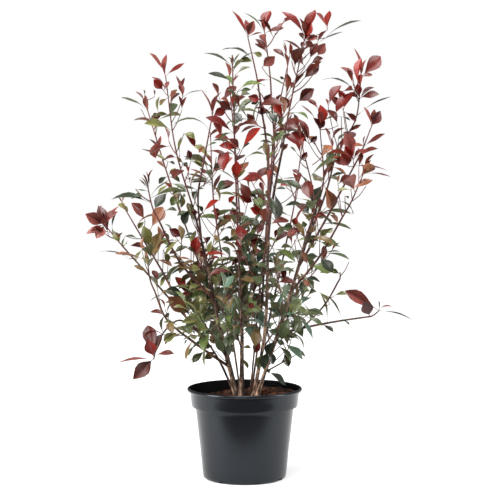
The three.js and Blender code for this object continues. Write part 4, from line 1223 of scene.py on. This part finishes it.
# How grown leaves stand, from the tip of a twig to its foot, and how long they get there.
POSE = dict(open=(17, 84), stray=26, roll=34, droop=0.5, to_light=1.7, twist=0.6)
GROWTH = {
    "spray": dict(spacing=0.042, whorl=2, lengths=(0.066, 0.07), tip=0.6, fold=(42, 14), arch=(0.25, 1.5)),
    "green": dict(spacing=0.017, whorl=3, lengths=(0.052, 0.06), tip=0.78, fold=(34, 14), arch=(0.5, 1.7)),
    "shoots": dict(spacing=0.026, whorl=2, lengths=(0.048, 0.06), tip=0.7, fold=(34, 14), arch=(0.5, 1.7)),
}
LEAFY = (0.99, 0.11)
RIPENING = dict(old_below=1.3, full_size=2.5, fold=(0.6, 1.4), arch=(0.4, 1))
CLEAR_OF_OPENINGS = (0.5, 0.9)
CLEAR_OF_STEMS = (0.35, 0.65)
# How the leaves of the drawn whorls stand, and how much plainer those are that are seen edge-on.
DRAWN = dict(width=0.5, most=0.027, lean=0.6, arch=(0.3, 0.8), fold=(18, 48), twist=0.3)
THIN = dict(fold=0.9, width=0.3, twist=0.8)
SKIN = dict(dark=0.66, light=1.28, rib=1.5, veins=16, slant=11, mottle=45, rough=0.53, depth=0.0002)
LEAF_SHINE = dict(red_foliage=0.25, green_foliage=0.34)
GLOSS = dict(face=1.0, back=0.4)
CROWN_SLACK = 0.012


def grow_leaves(name, path, spray, draw):
    """The leaves of one twig: close and upright at its tip, wider apart and spreading below it."""
    young, old = spray["young"].split(), spray["old"].split()
    growth = GROWTH[name.split("_")[0]]
    count = growth["whorl"] + round(length_of(path) / growth["spacing"])
    first_turn = 2 * math.pi * draw()
    leaves = []
    for i in range(count):
        down = i / count
        share = between(LEAFY, down)
        forward = heading_at(path, share)
        outward = sideways(forward, first_turn + i * GOLDEN_TURN)
        opened = math.radians(between(POSE["open"], math.sqrt(down)) + POSE["stray"] * (draw() - 0.5))
        along = unit(forward * math.cos(opened) + outward * math.sin(opened) - UP * POSE["droop"] * down)
        upper = forward + UP * POSE["to_light"]
        upper = unit(upper - along * upper.dot(along))
        roll = math.radians(POSE["roll"] * (2 * draw() - 1))
        upper = upper * math.cos(roll) + np.cross(along, upper) * math.sin(roll)
        if draw() > spray["full"] ** (1 - OPEN_BY_TWIG):
            continue
        kinds = young if draw() > down * RIPENING["old_below"] else old
        kind = kinds[int(draw() * len(kinds))]
        grown_up = between((growth["tip"], 1), min(1, RIPENING["full_size"] * down))
        length = between(growth["lengths"], down) * between(LEAF["sizes"], draw()) * grown_up
        fold = math.radians(between(growth["fold"], min(1, down * between(RIPENING["fold"], draw()))))
        width = between(LEAF["width"], draw())
        arch = between(growth["arch"], draw() * between(RIPENING["arch"], down))
        leaves.append(dict(
            root=point_at(path, share), along=along, upper=upper, length=length, kind=kind, spray=name,
            width=width, fold=fold, arch=arch, twist=POSE["twist"] * (2 * draw() - 1),
            wave=2 * math.pi * draw()))
    return leaves


def drawn_leaves(whorl):
    """The leaves of a whorl from its row: kind, tip on the sheet, seen width, and bow if not usual."""
    leaves = []
    draw, root = whorl["draw"], whorl["root"]
    for text in whorl["borne"].split(", "):
        kind, across, down, wide, *bow = text.split()
        flat = on_sheet(float(across), float(down), root[1]) - root
        seen = np.linalg.norm(flat)
        ratio = min(DRAWN["width"], DRAWN["most"] / seen)
        share = float(wide) * SHEET["step"] / (ratio * seen)
        thin = 1 - min(1, share)
        lean = DRAWN["lean"] * (2 * draw() - 1)
        if share > 1:
            lean = -math.sqrt(share**2 - 1)
        tip = on_sheet(float(across), float(down), root[1] + lean * seen)
        along = unit(tip - root)
        face_on = math.acos(min(1, share))
        to_eye = np.array(VIEW_FROM) - root
        to_eye = unit(to_eye - along * to_eye.dot(along))
        crosswise = np.cross(to_eye, along)
        crosswise *= 1 if crosswise[2] > 0 else -1
        upper = to_eye * math.cos(face_on) + crosswise * math.sin(face_on)
        arch = float(bow[0]) if bow else between(DRAWN["arch"], draw())
        length = np.linalg.norm(tip - root) * (arch / 2) / math.sin(arch / 2)
        fold = math.radians(between(DRAWN["fold"], draw()) * (1 - THIN["fold"] * thin))
        width = ratio / math.cos(fold) * (1 - THIN["width"] * thin)
        twist = DRAWN["twist"] * (2 * draw() - 1) * (1 - THIN["twist"] * thin)
        leaves.append(dict(
            root=root, along=along, upper=upper, length=length, kind=kind, spray=whorl["on"],
            width=width, fold=fold, arch=arch, twist=twist, wave=2 * math.pi * draw()))
    return leaves


def leaf_mesh(name, leaves):
    """One mesh of many leaves, each a thin closed blade of 49 faces, bowed, folded and twisted."""
    def each(key):
        return np.array([leaf[key] for leaf in leaves])[:, None, None]

    # The blade's width and height at every station along it and every lane across it.
    rows, lanes = STATIONS[None, :, None], LANES[None, None, :]
    length, arch = each("length"), each("arch")
    blade = np.clip((rows - LEAF["stalk"]) / (1 - LEAF["stalk"]), 0, 1)
    half = 0.5 * each("width") * length * np.sin(math.pi * blade**LEAF["shoulder"]) ** LEAF["point"]
    half = np.maximum(half, LEAF["least"] * (rows < 1))
    bow = arch * (rows - 0.5)
    run = length / arch * (np.sin(bow) + np.sin(arch / 2))
    drop = length / arch * (np.cos(bow) - np.cos(arch / 2))
    ripple = LEAF["ripple"] * np.sin(each("wave") + LEAF["ripples"] * rows) * lanes**2
    lift = half * (np.sin(each("fold")) * np.abs(lanes) - LEAF["curl"] * lanes**2 + ripple)
    width = half * np.cos(each("fold")) * lanes
    turn = each("twist") * rows
    side = width * np.cos(turn) - lift * np.sin(turn)
    rise = width * np.sin(turn) + lift * np.cos(turn)
    ahead = run + rise * np.sin(bow)
    above = drop + rise * np.cos(bow)

    # Each leaf in its place, with the corners of its face, its tip and the rib of its back.
    root, along, upper = each("root"), each("along"), each("upper")
    across = np.cross(upper, along)
    top = root + along * ahead[..., None] + upper * above[..., None] + across * side[..., None]
    beneath = upper * np.cos(bow)[..., None] + along * np.sin(bow)[..., None]
    rib = (top - beneath * LEAF["thick"])[:, :-1, 2]
    corners = np.concatenate([top[:, :-1].reshape(len(leaves), -1, 3), top[:, -1:, 2], rib], axis=1)

    last = len(STATIONS) - 1
    tip = 5 * last
    rib_start = tip + 1
    faces, backs = [], []
    for row in range(last):
        left, right, middle = 5 * row, 5 * row + 4, rib_start + row
        if row < last - 1:
            faces += [(here, here + 5, here + 6, here + 1) for here in range(left, right)]
            backs += [(left, middle, middle + 1, left + 5), (middle, right, right + 5, middle + 1)]
        else:
            faces += [(here, tip, here + 1) for here in range(left, right)]
            backs += [(left, middle, tip), (middle, right, tip)]
    backs.append((0, 1, 2, 3, 4, rib_start))
    count = corners.shape[1]
    mesh = bpy.data.meshes.new(name)
    starts = range(0, count * len(leaves), count)
    all_faces = [[start + corner for corner in face] for start in starts for face in faces + backs]
    mesh.from_pydata(corners.reshape(-1, 3), [], all_faces)

    # Across and along the blade, for the skin's rib and veins.
    on_blade = [(0.5 + 0.5 * lane, station) for station in STATIONS[:-1] for lane in LANES]
    on_blade = np.array([*on_blade, (0.5, 1), *[(0.5, station) for station in STATIONS[:-1]]])
    of_corner = np.empty(len(mesh.loops), int)
    mesh.loops.foreach_get("vertex_index", of_corner)
    mesh.uv_layers.new(name="blade").data.foreach_set("uv", on_blade[of_corner % count].ravel())
    mesh.polygons.foreach_set("material_index", ([0] * len(faces) + [1] * len(backs)) * len(leaves))
    mesh.shade_smooth()
    mesh.set_sharp_from_angle(angle=math.radians(50))
    return mesh


def leaf_finish(name, tint, gloss, shine):
    """Leaf skin in one colour, a little uneven, with a paler rib and raised side veins."""
    skin = Finish(name, specular_ior_level=shine * gloss)
    where = skin.add("ShaderNodeUVMap", {"uv_map": "blade"})
    across = skin.add("ShaderNodeSeparateXYZ", values={0: where}, output="X")
    length = skin.add("ShaderNodeSeparateXYZ", values={0: where}, output="Y")
    off = skin.add("ShaderNodeMath", {"operation": "ABSOLUTE"}, {0: across - 0.5})
    climb = length * SKIN["veins"] - off * SKIN["slant"]
    veins = skin.add("ShaderNodeMath", {"operation": "SINE"}, {0: climb * (2 * math.pi)})
    rib = skin.add("ShaderNodeMapRange", values={"Value": off, "From Min": 0.02, "From Max": 0.07,
                                                 "To Min": 1, "To Max": 0})
    mottle = skin.noise(SKIN["mottle"], detail=4)
    dark = tuple(SKIN["dark"] * part for part in tint[:3]) + (1,)
    light = tuple(min(1, SKIN["light"] * part) for part in tint[:3]) + (1,)
    rib_colour = tuple(min(1, SKIN["rib"] * part + 0.03) for part in tint[:3]) + (1,)
    body = skin.ramp(mottle, (0.3, dark), (0.5, tint), (0.7, light))
    skin.set("Base Color", skin.mix(rib * 0.4, body, rib_colour))
    skin.set("Roughness", SKIN["rough"] - 0.3 * gloss + mottle * 0.14)
    skin.relief(veins * 0.3 + rib * 0.7, SKIN["depth"], 0.3)
    return skin


def keeps_clear(leaf):
    """Whether a grown leaf stays out of the openings and off the stems that show."""
    reach = leaf["along"] * leaf["length"]
    if in_opening(*[leaf["root"] + reach * share for share in CLEAR_OF_OPENINGS]):
        return False
    return not hides_stem(*[leaf["root"] + reach * share for share in CLEAR_OF_STEMS])


def within(leaf):
    """Whether a leaf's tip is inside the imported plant's box, or no more than a stalk's length outside."""
    tip = leaf["root"] + leaf["along"] * leaf["length"]
    sides = zip(cad_box[0], tip, cad_box[1])
    return all(low - CROWN_SLACK < part < high + CROWN_SLACK for low, part, high in sides)


leaves = []
for name, twig_set in grown.items():
    for rank, path in twig_set["twigs"]:
        borne = grow_leaves(name, path, SPRAYS.get(name, SHOOT_LEAVES), twig_set["draw"])
        if not is_closing(rank, path):
            leaves += [leaf for leaf in borne if keeps_clear(leaf)]
for whorl in whorls:
    leaves += drawn_leaves(whorl)
leaves = [leaf for leaf in leaves if within(leaf)]
for slot, kinds in KINDS.items():
    for kind, tints in kinds.items():
        own = [leaf for leaf in leaves if leaf["kind"] == kind]
        mesh = leaf_mesh("leaves_" + kind, own)
        for tint, (side, gloss) in zip(tints, GLOSS.items()):
            skin = leaf_finish(kind + "_" + side, colour(*tint), gloss, LEAF_SHINE[slot])
            mesh.materials.append(skin.material)
        piece = add_object("leaves_" + kind, mesh)
        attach(piece, "root")
        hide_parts(*sorted({leaf["spray"] for leaf in own} & set(SPRAYS)))
